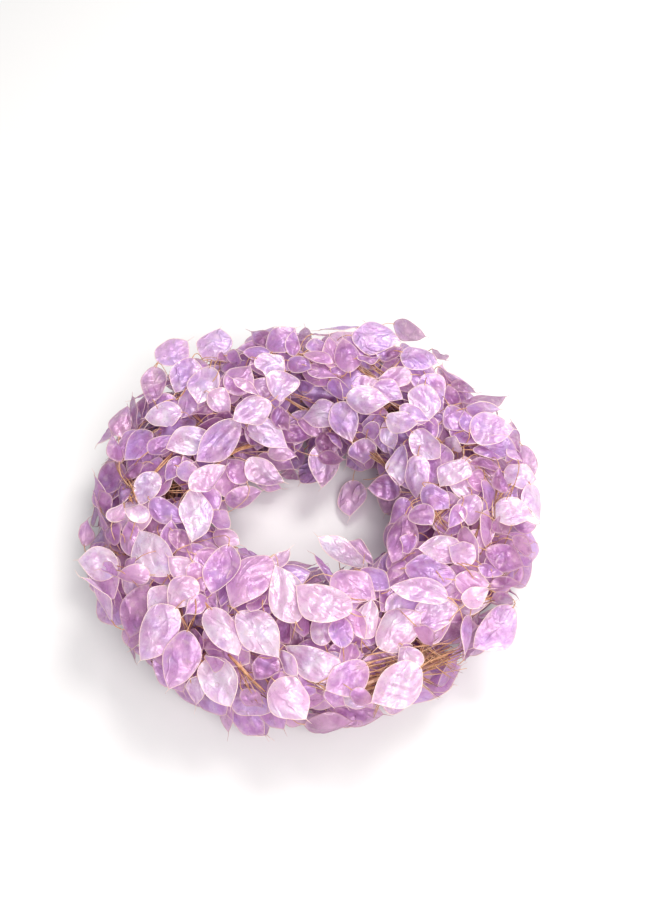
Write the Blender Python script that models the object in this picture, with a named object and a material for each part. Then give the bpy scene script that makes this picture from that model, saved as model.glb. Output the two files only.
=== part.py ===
"""A wreath of dyed lunaria seed pods, lying flat, in metres with +Z up.

A wire hoop carries a ring of bound stems. Fourteen bunches are laid round it, each of four leafy sprays:
one inward, one on top, one on the shoulder and one at the side. Each spray's stem is held against the ring by
one long binding wire, then rises off it and carries its pods on thin stalks. The origin is on the surface that
the wreath lies on, at the wreath's axis.
"""

import math
import random

import bmesh
import bpy
from mathutils import Vector
from mathutils.bvhtree import BVHTree

# Driving sizes of the wreath
RING_RADIUS = 0.125  # axis of the wreath to the middle of the bound stems
RING_HEIGHT = 0.038  # middle of the bound stems above the surface
OUTER_RADIUS = 0.187  # furthest reach of any pod
TOP_HEIGHT = 0.092  # highest reach of any pod
SECTION_OUTWARD = 0.065  # how far the foliage stands from the ring's middle, away from the hole
SECTION_INWARD = (0.055, 0.076)  # the same into the hole, at the left and right and at the front and back
SECTION_RISE = 0.052  # the same, upwards
SECTION_DROP = 0.034  # the same, downwards, where the wreath lies on its pods
HOLE_MARGIN = 0.004  # how far a pod's edge may pass the foliage's line into the hole

# Ring of bound stems, hoop and binding wire
BUNCHES = 14
STEM_RING_RADIUS = 0.011
STEM_RING_LOBES = 9
STEM_RING_LOBE_DEPTH = 0.0030
STEM_RING_TWISTS = 2  # whole turns that the strands make on their way round
STEM_RING_STEPS = 36
HOOP_WIRE_RADIUS = 0.0016
HOOP_SIDES = 4
HOOP_TURN = 285.0  # where the hoop lies against the bound stems, in degrees round the section
BINDING_WIRE_RADIUS = 0.0006
BINDING_SIDES = 3
BINDING_POINTS_PER_TURN = 6
FIRST_TURN = -15.0  # where the binding wire has its first bend, and the first lane its stem
SEAT_GAP = 0.0005  # left between pieces that lie against each other

# Stems and stalks
STEM_RADIUS = 0.0013
STEM_SIDES = 3
BOUND_LENGTH = 0.028  # stretch of each stem that lies on the ring
FREE_LENGTH = 0.082  # stretch of each stem that carries pods
STEM_RISE = 0.026  # how far the tip stands off the ring
RISE_SHARES = (0.85, 1.1)
DRIFT_SPREAD = 7.0  # degrees that a stem strays from its lane's drift
STALK_RADIUS = 0.00065
STALK_LENGTHS = (0.005, 0.030)
LEAST_STALK_DOT = 0.20  # cosine of the sharpest bend where a stalk meets its pod
ROOT_CHOICES = 16

# Pods
POD_LENGTHS = (0.034, 0.044)
POD_WIDTH_SHARES = (0.70, 0.80)  # width over length
POD_THICKNESS = 0.0016  # at the middle; a pod thins out to its rim
POD_CROWNS = (0.0006, 0.0032)
POD_OUTLINE = ((0.12, 0.58), (0.44, 1.0), (0.79, 0.70))  # share of length, share of half width
RIM_WAVE = 0.0011
CLEARANCE = 0.0005

# How a pod lies: means and spreads of the draws
POD_LEADS = (0.000, 0.036)  # how far its middle stands ahead of its share of the stem, along the ring
FORWARD_SPREAD = (0.8, 0.6)  # how much it points along the ring
OUTWARD_SPREAD = (0.8, 0.6)  # how much it points away from the ring's middle
UPRIGHT_SPREAD = (0.0, 0.3)  # how much it points up
UPWARD_LEANS = (0.1, 1.3)  # how far its face leans up, or down on the underside
UNDERSIDE = -0.35  # a face that points lower than this leans down
FACE_TILT = 0.30
DEEP_TILT = 0.30  # added to the tilt of a pod deep in the foliage
LAYER_SHARES = (0.98, 0.66, 0.86, 0.50)  # how far out in the foliage each pod in turn sits
LAYER_SPREAD = (-0.12, 0.02)
ANGLE_SPREAD = (0.05, 0.10)  # radians round the wreath, at the first try and added by the last
TURN_SPREAD = (6.0, 12.0)  # degrees round the section, the same
LAST_SHRINK = 0.12  # how much smaller a pod is at the last try
ATTEMPTS = 400

# Each lane of sprays: name, turn round the section in degrees (0 outward, 90 up), how far the stem drifts,
# the sector that its pods fill, and how many pods a spray carries
LANES = (
    ("inner", 165.0, 30.0, (128.0, 222.0), 7),
    ("top", 105.0, 6.0, (76.0, 134.0), 7),
    ("shoulder", 45.0, -8.0, (22.0, 80.0), 7),
    ("side", -15.0, -26.0, (-52.0, 26.0), 8),
)
SEED = 4100

# Pods that lie flat on the surface, pods that hang into the hole, and the spot where the stems show
RESTING_LANES = ("inner", "side")
RESTING_SHARES = (0.45, 1.0)  # where along the stem a resting pod's stalk may start
RESTING_RUNS = (0.007, 0.020)  # how far its base stands from below that start
RESTING_HEADINGS = 1.9  # radians that it may point away from the ring's direction
HANGING_PLACES = ((0.012, 0.046, 0.040), (0.036, 0.027, 0.012), (0.066, 0.022, 0.030))
HANGING_STRAY = 0.002
HANGING_STALK = 0.062  # the longest stalk of a hanging pod
HANGING_FACE = Vector((0.0, -0.7, 1.0))
HANGING_AXIS = Vector((0.0, -1.0, -0.6))
HANGING_SPREADS = (0.30, 0.35)  # of the face and of the axis
BARE_SPOT = (-58.0, 30.0, 0.050)  # angle round the wreath, turn round the section, reach from the ring's middle
BARE_RADIUS = 0.026

COLOURS = {
    "pods": ((0.62, 0.42, 0.72, 1.0), 0.38, 0.0),
    "stems": ((0.58, 0.37, 0.20, 1.0), 0.75, 0.0),
    "wire": ((0.45, 0.44, 0.42, 1.0), 0.40, 1.0),
}


def outward(angle, turn):
    """Direction away from the ring's middle, at an angle round the wreath and a turn round its section."""
    return Vector((math.cos(turn) * math.cos(angle), math.cos(turn) * math.sin(angle), math.sin(turn)))


def along(angle):
    """Direction along the ring."""
    return Vector((-math.sin(angle), math.cos(angle), 0.0))


def ring_point(angle, turn, reach):
    """Point that stands a reach away from the ring's middle."""
    middle = Vector((RING_RADIUS * math.cos(angle), RING_RADIUS * math.sin(angle), RING_HEIGHT))
    return middle + outward(angle, turn) * reach


def inward_width(angle):
    """How far the foliage reaches into the hole, which is wider than it is deep."""
    at_sides, at_front = SECTION_INWARD
    return at_sides + (at_front - at_sides) * math.sin(angle) ** 2


def section_reach(angle, turn):
    """How far the foliage stands from the ring's middle at a turn round the section."""
    width = SECTION_OUTWARD if math.cos(turn) > 0 else inward_width(angle)
    height = SECTION_RISE if math.sin(turn) > 0 else SECTION_DROP
    return 1.0 / math.hypot(math.cos(turn) / width, math.sin(turn) / height)


def reaches_into_hole(point):
    """Whether a point stands nearer to the wreath's axis than a pod may."""
    angle = math.atan2(point.y, point.x)
    return point.xy.length < RING_RADIUS - inward_width(angle) - HOLE_MARGIN


def tube(points, radius, sides, closed=False):
    """Vertices and faces of a tube along points. A closed tube follows the ring, and an open one has caps."""
    vertices, faces = [], []
    count = len(points)
    side = Vector((0.0, 0.0, 1.0))
    for i, point in enumerate(points):
        after = points[(i + 1) % count] if closed or i < count - 1 else point
        before = points[i - 1] if closed or i > 0 else point
        forward = (after - before).normalized()
        if closed:
            angle = math.atan2(point.y, point.x)
            side = point - ring_point(angle, 0.0, 0.0)
        elif i == 0:
            side = forward.cross(side)
        side = (side - forward * side.dot(forward)).normalized()
        other = forward.cross(side)
        for k in range(sides):
            a = math.tau * k / sides
            vertices.append(point + side * (radius * math.cos(a)) + other * (radius * math.sin(a)))
    for i in range(count if closed else count - 1):
        here, there = i * sides, ((i + 1) % count) * sides
        for k in range(sides):
            n = (k + 1) % sides
            faces.append((here + k, here + n, there + n, there + k))
    if not closed:
        faces.append(tuple(reversed(range(sides))))
        faces.append(tuple(range((count - 1) * sides, count * sides)))
    return vertices, faces


def stem_ring_shape():
    """The bound stems: a ring with twisted lobes, one for each thick strand of stems."""
    across = STEM_RING_LOBES * 2
    vertices, faces = [], []
    for i in range(STEM_RING_STEPS):
        angle = math.tau * i / STEM_RING_STEPS
        for k in range(across):
            turn = math.tau * k / across + STEM_RING_TWISTS * angle
            reach = STEM_RING_RADIUS - (STEM_RING_LOBE_DEPTH if k % 2 else 0.0)
            vertices.append(ring_point(angle, turn, reach))
    for i in range(STEM_RING_STEPS):
        here, there = i * across, ((i + 1) % STEM_RING_STEPS) * across
        # The last section meets the first one after whole turns, so each lobe meets itself
        for k in range(across):
            n = (k + 1) % across
            faces.append((here + k, there + k, there + n, here + n))
    return vertices, faces


def hoop_shape():
    """The wire hoop, which lies against the underside of the bound stems."""
    turn = math.radians(HOOP_TURN)
    reach = STEM_RING_RADIUS + SEAT_GAP + HOOP_WIRE_RADIUS
    points = [ring_point(math.tau * i / STEM_RING_STEPS, turn, reach) for i in range(STEM_RING_STEPS)]
    return tube(points, HOOP_WIRE_RADIUS, HOOP_SIDES, closed=True)


def binding_shape():
    """The binding wire: one turn for each bunch, bent where it passes over the hoop and each lane's stem."""
    reach = STEM_RING_RADIUS + 2 * SEAT_GAP + 2 * HOOP_WIRE_RADIUS + BINDING_WIRE_RADIUS
    count = BUNCHES * BINDING_POINTS_PER_TURN
    points = []
    for i in range(count):
        turn = math.radians(FIRST_TURN) + math.tau * i / BINDING_POINTS_PER_TURN
        points.append(ring_point(math.tau * i / count, turn, reach))
    return tube(points, BINDING_WIRE_RADIUS, BINDING_SIDES, closed=True)


def spray_stem(bunch, lane):
    """Points along a spray's stem: three on the ring, under the binding wire, then four that rise off it."""
    _, turn_degrees, drift_degrees, _, _ = lane
    dice = random.Random(SEED + 31 * bunch + int(turn_degrees))
    crossing = math.tau * (bunch + (turn_degrees - FIRST_TURN) / 360.0) / BUNCHES
    turn = math.radians(turn_degrees)
    drift = math.radians(drift_degrees + dice.uniform(-DRIFT_SPREAD, DRIFT_SPREAD))
    rise = STEM_RISE * dice.uniform(*RISE_SHARES)
    seat = STEM_RING_RADIUS + SEAT_GAP + STEM_RADIUS
    lane_radius = RING_RADIUS + seat * math.cos(turn)
    points = []
    for step in (-0.5, 0.0, 0.5):
        points.append(ring_point(crossing + BOUND_LENGTH * step / lane_radius, turn, seat))
    start = crossing + 0.5 * BOUND_LENGTH / lane_radius
    for step in (0.25, 0.5, 0.75, 1.0):
        angle = start + FREE_LENGTH * step / RING_RADIUS
        points.append(ring_point(angle, turn + drift * step, seat + rise * step))
    return points


def point_on_stem(points, share):
    """Point on the free part of a stem, at a share of its length."""
    free = points[2:]
    place = share * (len(free) - 1)
    i = min(int(place), len(free) - 2)
    return free[i].lerp(free[i + 1], place - i)


def stalk_section(middle, side, up, radius):
    """The three corners of a stalk: low left, low right and high."""
    return [
        middle - side * (0.87 * radius) - up * (0.5 * radius),
        middle + side * (0.87 * radius) - up * (0.5 * radius),
        middle + up * radius,
    ]


def pod_shape(pod, grow=0.0):
    """Vertices and faces of a pod with its stalk, and the number of faces that belong to the blade.

    A pod is a thin lens with a waved rim and a crown to one side. grow thickens it all round.
    """
    base, axis, normal, root = pod["base"], pod["axis"], pod["normal"], pod["root"]
    length, half = pod["length"] + grow, pod["width"] / 2 + grow
    across = axis.cross(normal)
    right, left = [], []
    for (share, spread), (wave_right, wave_left) in zip(POD_OUTLINE, pod["waves"]):
        spine = base + axis * (share * length)
        right.append(spine + across * (spread * half) + normal * wave_right)
        left.append(spine - across * (spread * half) + normal * wave_left)
    middle = base + axis * (length / 2) + normal * pod["crown"]
    thick = POD_THICKNESS / 2 + grow
    top, bottom = middle + normal * thick, middle - normal * thick

    lean = ((base - root).normalized() + axis).normalized()
    side = lean.cross(normal).normalized()
    up = side.cross(lean)
    foot = stalk_section(base, side, up, STALK_RADIUS + grow)
    if pod["rests"]:
        # The whole underside lies on the surface
        top, bottom = middle + normal * (2 * thick), middle
        for corner in foot:
            corner.z = max(corner.z, 0.0)

    rim = right + [base + axis * length] + left[::-1]
    vertices = foot + rim + [top, bottom] + stalk_section(root, side, up, STALK_RADIUS + grow)
    low_left, low_right, high = 0, 1, 2
    rim_at = list(range(len(foot), len(foot) + len(rim)))
    top_at, bottom_at = rim_at[-1] + 1, rim_at[-1] + 2
    upper = [high, low_right] + rim_at + [low_left]
    lower = [low_right] + rim_at + [low_left]
    faces = [(upper[i - 1], upper[i], top_at) for i in range(len(upper))]
    faces += [(lower[i], lower[i - 1], bottom_at) for i in range(len(lower))]
    blade_faces = len(faces)
    far = bottom_at + 1
    for k in range(3):
        n = (k + 1) % 3
        faces.append((n, k, far + k, far + n))
    faces.append((far + 2, far + 1, far))
    return vertices, faces, blade_faces


class Placed:
    """Something that stands in the wreath, with what is needed to tell whether another thing crosses it."""

    def __init__(self, vertices, faces):
        low = Vector((min(v[i] for v in vertices) for i in range(3)))
        high = Vector((max(v[i] for v in vertices) for i in range(3)))
        self.middle = (low + high) / 2
        self.radius = max((v - self.middle).length for v in vertices)
        self.tree = BVHTree.FromPolygons(vertices, faces)

    def crosses(self, other):
        if (self.middle - other.middle).length > self.radius + other.radius:
            return False
        return bool(self.tree.overlap(other.tree))


def fits(pod, own_stem, placed):
    """The pod as something placed, or None where it crosses something or leaves the wreath's outline."""
    vertices, _, _ = pod_shape(pod)
    if min(v.z for v in vertices) < (0.0 if pod["rests"] else CLEARANCE):
        return None
    if max(v.z for v in vertices) > TOP_HEIGHT or max(v.xy.length for v in vertices) > OUTER_RADIUS:
        return None
    if not pod["hangs"] and any(reaches_into_hole(v) for v in vertices):
        return None
    bare = ring_point(math.radians(BARE_SPOT[0]), math.radians(BARE_SPOT[1]), BARE_SPOT[2])
    if (pod["base"] + pod["axis"] * (pod["length"] / 2) - bare).length < BARE_RADIUS:
        return None
    grown, faces, blade_faces = pod_shape(pod, CLEARANCE)
    if Placed(grown, faces[:blade_faces]).crosses(own_stem):
        return None
    candidate = Placed(grown, faces)
    if any(other is not own_stem and candidate.crosses(other) for other in placed):
        return None
    return candidate


def make_pod(dice, base, axis, normal, root, length, kind="covers"):
    """A pod's facts, with its width, crown and waves drawn."""
    flat = kind == "rests"
    wave = 0.0 if flat else RIM_WAVE
    return {
        "base": base,
        "axis": axis,
        "normal": normal,
        "root": root,
        "length": length,
        "waves": [(dice.uniform(-wave, wave), dice.uniform(-wave, wave)) for _ in POD_OUTLINE],
        "width": length * dice.uniform(*POD_WIDTH_SHARES),
        "crown": 0.0 if flat else dice.choice((-1.0, 1.0, 1.0)) * dice.uniform(*POD_CROWNS),
        "rests": flat,
        "hangs": kind == "hangs",
    }


def stalk_root(dice, stem, base, axis):
    """The place on a stem from which a stalk runs to a pod's base with the least bend, or None."""
    root, straightest = None, LEAST_STALK_DOT
    for k in range(ROOT_CHOICES):
        start = point_on_stem(stem, (k + dice.random()) / ROOT_CHOICES)
        stalk = base - start
        if STALK_LENGTHS[0] < stalk.length < STALK_LENGTHS[1]:
            straight = stalk.normalized().dot(axis)
            if straight > straightest:
                root, straightest = start, straight
    return root


def covering_pod(dice, stem, share, target_turn, layer, effort):
    """One try at a pod whose middle stands near a share of a stem, or None where no stalk would reach it."""
    below = point_on_stem(stem, share)
    lead = dice.uniform(*POD_LEADS) / RING_RADIUS
    stray = dice.gauss(0.0, ANGLE_SPREAD[0] + ANGLE_SPREAD[1] * effort)
    angle = math.atan2(below.y, below.x) + lead + stray
    turn = math.radians(target_turn + dice.gauss(0.0, TURN_SPREAD[0] + TURN_SPREAD[1] * effort))
    length = dice.uniform(*POD_LENGTHS) * (1.0 - LAST_SHRINK * effort)

    facing = outward(angle, turn)
    tilt = FACE_TILT + DEEP_TILT * (1.0 - layer)
    lean = dice.uniform(*UPWARD_LEANS) * (1.0 if facing.z > UNDERSIDE else -1.0)
    normal = facing + Vector((dice.gauss(0.0, tilt), dice.gauss(0.0, tilt), lean + dice.gauss(0.0, tilt)))
    normal.normalize()
    spread = Vector((facing.x, facing.y, 0.0)) * dice.gauss(*OUTWARD_SPREAD)
    axis = along(angle) * dice.gauss(*FORWARD_SPREAD) + spread + Vector((0.0, 0.0, dice.gauss(*UPRIGHT_SPREAD)))
    axis -= normal * axis.dot(normal)
    if axis.length < 0.2:
        return None
    axis.normalize()

    reach = section_reach(angle, turn) * (layer + dice.uniform(*LAYER_SPREAD) * (1.0 + effort))
    reach -= length / 2 * max(0.0, axis.dot(facing))
    base = ring_point(angle, turn, reach) - axis * (length / 2)
    root = stalk_root(dice, stem, base, axis)
    return root and make_pod(dice, base, axis, normal, root, length)


def resting_pod(dice, stem):
    """One try at a pod that lies flat on the surface and carries the wreath."""
    root = point_on_stem(stem, dice.uniform(*RESTING_SHARES))
    heading = math.atan2(root.y, root.x) + math.pi / 2 + dice.uniform(-RESTING_HEADINGS, RESTING_HEADINGS)
    axis = Vector((math.cos(heading), math.sin(heading), 0.0))
    base = Vector((root.x, root.y, 0.0)) + axis * dice.uniform(*RESTING_RUNS)
    return make_pod(dice, base, axis, Vector((0.0, 0.0, 1.0)), root, dice.uniform(*POD_LENGTHS), "rests")


def hanging_pod(dice, stem, place):
    """One try at a pod that hangs from a long stalk into the hole, facing up and to the front, or None."""
    def stray(spread):
        return Vector((dice.gauss(0.0, spread), dice.gauss(0.0, spread), 0.0))

    normal = (HANGING_FACE + stray(HANGING_SPREADS[0])).normalized()
    axis = HANGING_AXIS + stray(HANGING_SPREADS[1])
    axis = (axis - normal * axis.dot(normal)).normalized()
    length = dice.uniform(*POD_LENGTHS)
    base = Vector(place) + stray(HANGING_STRAY) - axis * (length / 2)
    root = point_on_stem(stem, dice.random())
    stalk = base - root
    if stalk.length > HANGING_STALK or stalk.normalized().dot(axis) < LEAST_STALK_DOT:
        return None
    return make_pod(dice, base, axis, normal, root, length, "hangs")


def hang_on(sprays, choices, placed, seed, draw):
    """Hangs one pod on one of the sprays named in choices, at the first try that fits."""
    for attempt in range(ATTEMPTS):
        dice = random.Random(seed * 1000 + attempt)
        spray = sprays[dice.choice(choices)]
        pod = draw(dice, spray["stem"], attempt / ATTEMPTS)
        candidate = pod and fits(pod, spray["solid"], placed)
        if candidate:
            placed.append(candidate)
            spray["pods"].append(pod)
            return


def lay_out():
    """Every spray with its stem and pods, placed so that nothing crosses anything else."""
    placed = [Placed(*shape()) for shape in (stem_ring_shape, hoop_shape, binding_shape)]
    sprays = []
    for bunch in range(BUNCHES):
        for lane in LANES:
            stem = spray_stem(bunch, lane)
            solid_stem = Placed(*tube(stem, STEM_RADIUS + CLEARANCE, STEM_SIDES))
            placed.append(solid_stem)
            sprays.append({"bunch": bunch, "lane": lane, "stem": stem, "solid": solid_stem, "pods": []})

    for number, spray in enumerate(sprays):
        if spray["lane"][0] in RESTING_LANES:
            hang_on(sprays, [number], placed, SEED + number, lambda dice, stem, _: resting_pod(dice, stem))

    inner = [number for number, spray in enumerate(sprays) if spray["lane"][0] == "inner"]
    for k, place in enumerate(HANGING_PLACES):
        hang_on(sprays, inner, placed, SEED - 1 - k, lambda dice, stem, _: hanging_pod(dice, stem, place))

    for turn_taken in range(max(lane[4] for lane in LANES)):
        for number, spray in enumerate(sprays):
            _, _, _, sector, count = spray["lane"]
            if turn_taken >= count or len(spray["pods"]) >= count:
                continue
            # Golden-ratio steps spread the pods evenly over the sector
            across = (0.5 + 0.618034 * (turn_taken * 3 + spray["bunch"])) % 1.0
            target = sector[0] + (sector[1] - sector[0]) * across
            share = (turn_taken + 0.5) / count
            layer = LAYER_SHARES[(turn_taken + spray["bunch"]) % len(LAYER_SHARES)]
            hang_on(
                sprays,
                [number],
                placed,
                (SEED + number) * 100 + turn_taken,
                lambda dice, stem, effort: covering_pod(dice, stem, share, target, layer, effort),
            )
    return sprays


def material(name):
    colour, roughness, metallic = COLOURS[name]
    made = bpy.data.materials.new(name)
    made.use_nodes = True
    shader = made.node_tree.nodes["Principled BSDF"]
    shader.inputs["Base Color"].default_value = colour
    shader.inputs["Roughness"].default_value = roughness
    shader.inputs["Metallic"].default_value = metallic
    return made


def solid(name, shape, finish, collection=None):
    """An object made from vertices and faces, in triangles that all face out."""
    vertices, faces = shape[0], shape[1]
    mesh = bpy.data.meshes.new(name)
    mesh.from_pydata([tuple(v) for v in vertices], [], faces)
    working = bmesh.new()
    working.from_mesh(mesh)
    bmesh.ops.triangulate(working, faces=working.faces[:])
    bmesh.ops.recalc_face_normals(working, faces=working.faces[:])
    working.to_mesh(mesh)
    working.free()
    mesh.materials.append(finish)
    made = bpy.data.objects.new(name, mesh)
    (collection or bpy.context.scene.collection).objects.link(made)
    return made


def fuse(stem, pods, finish):
    """Joins a spray's pods to its stem in one closed body, and removes the pods that it was joined from."""
    join = stem.modifiers.new("join_pods", "BOOLEAN")
    join.operation = "UNION"
    join.operand_type = "COLLECTION"
    join.collection = pods
    join.solver = "MANIFOLD"
    bpy.context.view_layer.update()
    graph = bpy.context.evaluated_depsgraph_get()
    joined = bpy.data.meshes.new_from_object(stem.evaluated_get(graph))
    joined.materials.clear()
    joined.materials.append(finish)
    stem.modifiers.clear()
    stem.data = joined
    for pod in list(pods.objects):
        bpy.data.objects.remove(pod)
    bpy.data.collections.remove(pods)


def main():
    for old in list(bpy.data.objects):
        bpy.data.objects.remove(old)
    finishes = {name: material(name) for name in COLOURS}
    solid("stem_ring", stem_ring_shape(), finishes["stems"])
    solid("hoop", hoop_shape(), finishes["wire"])
    solid("binding_wire", binding_shape(), finishes["wire"])
    for spray in lay_out():
        name = f"spray_{spray['bunch'] + 1:02d}_{spray['lane'][0]}"
        stem = solid(name, tube(spray["stem"], STEM_RADIUS, STEM_SIDES), finishes["pods"])
        pods = bpy.data.collections.new(name + "_pods")
        bpy.context.scene.collection.children.link(pods)
        for i, pod in enumerate(spray["pods"]):
            solid(f"{name}_pod_{i}", pod_shape(pod), finishes["pods"], pods)
        fuse(stem, pods, finishes["pods"])


main()
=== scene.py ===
"""The looks of a wreath of dyed lunaria pods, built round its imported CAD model, in metres with +Z up.

Each spray of the CAD model is replaced by the same pods at the same places, now as papery membranes with a
thin rim, a style tip and a curved stalk. The pods that the photo shows one by one lie on top of them. More
pods and fine stems fill the gaps, as on the real wreath.
"""

import math
import random
from collections import namedtuple

import bpy
import numpy as np
from mathutils import Matrix, Vector
from mathutils.bvhtree import BVHTree


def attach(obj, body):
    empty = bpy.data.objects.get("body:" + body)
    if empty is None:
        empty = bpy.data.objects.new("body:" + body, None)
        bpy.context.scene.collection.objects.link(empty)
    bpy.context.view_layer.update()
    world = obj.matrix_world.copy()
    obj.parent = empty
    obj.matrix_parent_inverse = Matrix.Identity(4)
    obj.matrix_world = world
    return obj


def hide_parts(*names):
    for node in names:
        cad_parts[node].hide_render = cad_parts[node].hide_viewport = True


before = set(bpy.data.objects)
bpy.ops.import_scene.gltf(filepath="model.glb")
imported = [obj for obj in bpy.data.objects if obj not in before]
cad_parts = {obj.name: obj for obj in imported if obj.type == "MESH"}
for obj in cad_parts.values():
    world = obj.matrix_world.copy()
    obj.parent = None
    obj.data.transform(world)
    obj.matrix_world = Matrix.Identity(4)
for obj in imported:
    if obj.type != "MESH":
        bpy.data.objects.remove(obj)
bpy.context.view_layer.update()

# Units
MILLIMETRE = 0.001
TO_MILLIMETRES = 1000.0

# Driving sizes of the wreath, as in the CAD model
RING_RADIUS = 0.125  # axis of the wreath to the middle of the bound stems
RING_HEIGHT = 0.038  # middle of the bound stems above the surface
OUTER_RADIUS = 0.187  # furthest reach of any CAD pod
TOP_HEIGHT = 0.092  # highest reach of any CAD pod
SECTION_OUTWARD = 0.065  # how far the foliage stands from the ring's middle, away from the hole
SECTION_INWARD = (0.055, 0.076)  # the same into the hole, at the left and right and at the front and back
SECTION_RISE = 0.052  # the same, upwards
SECTION_DROP = 0.034  # the same, downwards, where the wreath lies on its pods
HOLE_MARGIN = 0.004  # how far a pod's edge may pass the foliage's line into the hole

# Ring of bound stems, hoop and binding wire
BUNCHES = 14
STEM_RING_RADIUS = 0.011
STEM_RING_LOBES = 9
STEM_RING_LOBE_DEPTH = 0.0030
STEM_RING_TWISTS = 2
STEM_RING_STEPS = 36
HOOP_WIRE_RADIUS = 0.0016
HOOP_SIDES = 4
HOOP_TURN = 285.0
BINDING_WIRE_RADIUS = 0.0006
BINDING_SIDES = 3
BINDING_POINTS_PER_TURN = 6
HOOP_FINE = (10, 120)  # sides and steps of the hoop in the looks
BINDING_FINE = (8, 24)  # sides and points for each turn of the binding wire in the looks
FIRST_TURN = -15.0
SEAT_GAP = 0.0005

# Stems and stalks
STEM_RADIUS = 0.0013
STEM_SIDES = 3
BOUND_LENGTH = 0.028
FREE_LENGTH = 0.082
STEM_RISE = 0.026
RISE_SHARES = (0.85, 1.1)
DRIFT_SPREAD = 7.0
STALK_RADIUS = 0.00065
STALK_LENGTHS = (0.005, 0.030)
LEAST_STALK_DOT = 0.20  # how well a stalk is in line with its pod at least, as a cosine
ROOT_CHOICES = 16
CORNER_ASIDE = 0.87  # of a stalk's radius, to the low corners of its three-sided section
CORNER_DOWN = 0.5

# Pods of the CAD model
POD_LENGTHS = (0.034, 0.044)
POD_WIDTH_SHARES = (0.70, 0.80)
POD_THICKNESS = 0.0016
POD_CROWNS = (0.0006, 0.0032)
POD_OUTLINE = ((0.12, 0.58), (0.44, 1.0), (0.79, 0.70))
RIM_WAVE = 0.0011
CLEARANCE = 0.0005
POD_LEADS = (0.000, 0.036)
FORWARD_SPREAD = (0.8, 0.6)
OUTWARD_SPREAD = (0.8, 0.6)
UPRIGHT_SPREAD = (0.0, 0.3)
UPWARD_LEANS = (0.1, 1.3)
UNDERSIDE = -0.35
FACE_TILT = 0.30
DEEP_TILT = 0.30
LAYER_SHARES = (0.98, 0.66, 0.86, 0.50)
LAYER_SPREAD = (-0.12, 0.02)
ANGLE_SPREAD = (0.05, 0.10)
TURN_SPREAD = (6.0, 12.0)
LAST_SHRINK = 0.12
LEAST_AXIS = 0.2  # a pod's draw is dropped where its axis is nearly at a right angle to its blade
ATTEMPTS = 400
GOLDEN_STEP = 0.618034
GOLDEN_STEPS = 3  # between one pod of a spray and its next
# Lanes of sprays round the ring's section: the turn of the stem, how far its free end drifts, the sector of
# turns that its pods cover, all in degrees, and how many pods it gets
Lane = namedtuple("Lane", "name turn drift sector pods")
LANES = (
    Lane("inner", 165.0, 30.0, (128.0, 222.0), 7),
    Lane("top", 105.0, 6.0, (76.0, 134.0), 7),
    Lane("shoulder", 45.0, -8.0, (22.0, 80.0), 7),
    Lane("side", -15.0, -26.0, (-52.0, 26.0), 8),
)
SEED = 4100
RESTING_LANES = ("inner", "side")
RESTING_SHARES = (0.45, 1.0)
RESTING_RUNS = (0.007, 0.020)
RESTING_HEADINGS = 1.9
HANGING_PLACES = ((0.012, 0.046, 0.040), (0.036, 0.027, 0.012), (0.066, 0.022, 0.030))
HANGING_STRAY = 0.002
HANGING_STALK = 0.062
HANGING_FACE = Vector((0.0, -0.7, 1.0))
HANGING_AXIS = Vector((0.0, -1.0, -0.6))
HANGING_SPREADS = (0.30, 0.35)
BARE_SPOT = (-58.0, 30.0, 0.050)  # angle and turn in degrees, and reach, of the spot where the stems show
BARE_RADIUS = 0.026

# Pods that only the looks have: how many each spray gets, and how they lie
EXTRA_PODS = 9
EXTRA_LEADS = (-0.06, 0.20)  # how far round the wreath from the stem's point below, in radians
EXTRA_LAYERS = (0.52, 1.04)
EXTRA_LOOSE = (0.3, 0.7)  # how loosely they lie: at the ring's middle, and how much more at the outline
EXTRA_ATTEMPTS = 60
EXTRA_TILT = 0.30
EXTRA_SIZES = (0.80, 1.05)
EXTRA_STALKS = (0.004, 0.040)
EXTRA_ROOM = 0.004  # how far the extra pods may pass the CAD pods' outline
SHEET_ROOM = 0.0004  # kept round a pod's outline when it is tested against its neighbours
SHEET_CORNERS = 12
LEAST_HEIGHT = 0.001  # lowest height of an added pod
CROWD_ROOM = 4096  # more than the wreath has pieces

# Shades of the pods that the photo doesn't show one by one
PALENESS = 0.58
PALE_SPREAD = 0.22
# Painted shade: pods are painted darker the further they lie towards the ring's middle, where shade falls
# among the foliage
DEEP_PAINTED_SHADE = 1.1  # how much darker a pod is that lies at the ring's middle
FRONT_PINK = 1.1  # how much pinker for each metre towards the front
# Painted light and shade: pods are painted paler towards the front and darker towards the back, where shadow
# fell
FRONT_PAINTED_LIGHT = 0.7  # how much paler for each metre towards the front

# Fine shape of a pod
STEEP = 0.9  # rise of a stem's start above which its sides are measured from the level, not from straight up
AROUND = 32
RINGS = 8
RING_SPACING = 0.85  # below 1, so that the rings are closer together near the rim
POD_MIDDLE = 0.46  # share of the length
WIDEST_PLACES = (0.38, 0.49)
BASE_POWERS = (0.50, 0.70)  # the larger, the more pointed
TIP_POWERS = (0.74, 1.06)
LOOSE_POINTED = 0.22  # how much more pointed where a pod lies loose
SKEW = 0.06  # how far the widest places of the two sides are apart, as a share of the length
OUTLINE_WAVES = (1, 2, 3, 5)
OUTLINE_UNEVEN = 0.042
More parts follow.
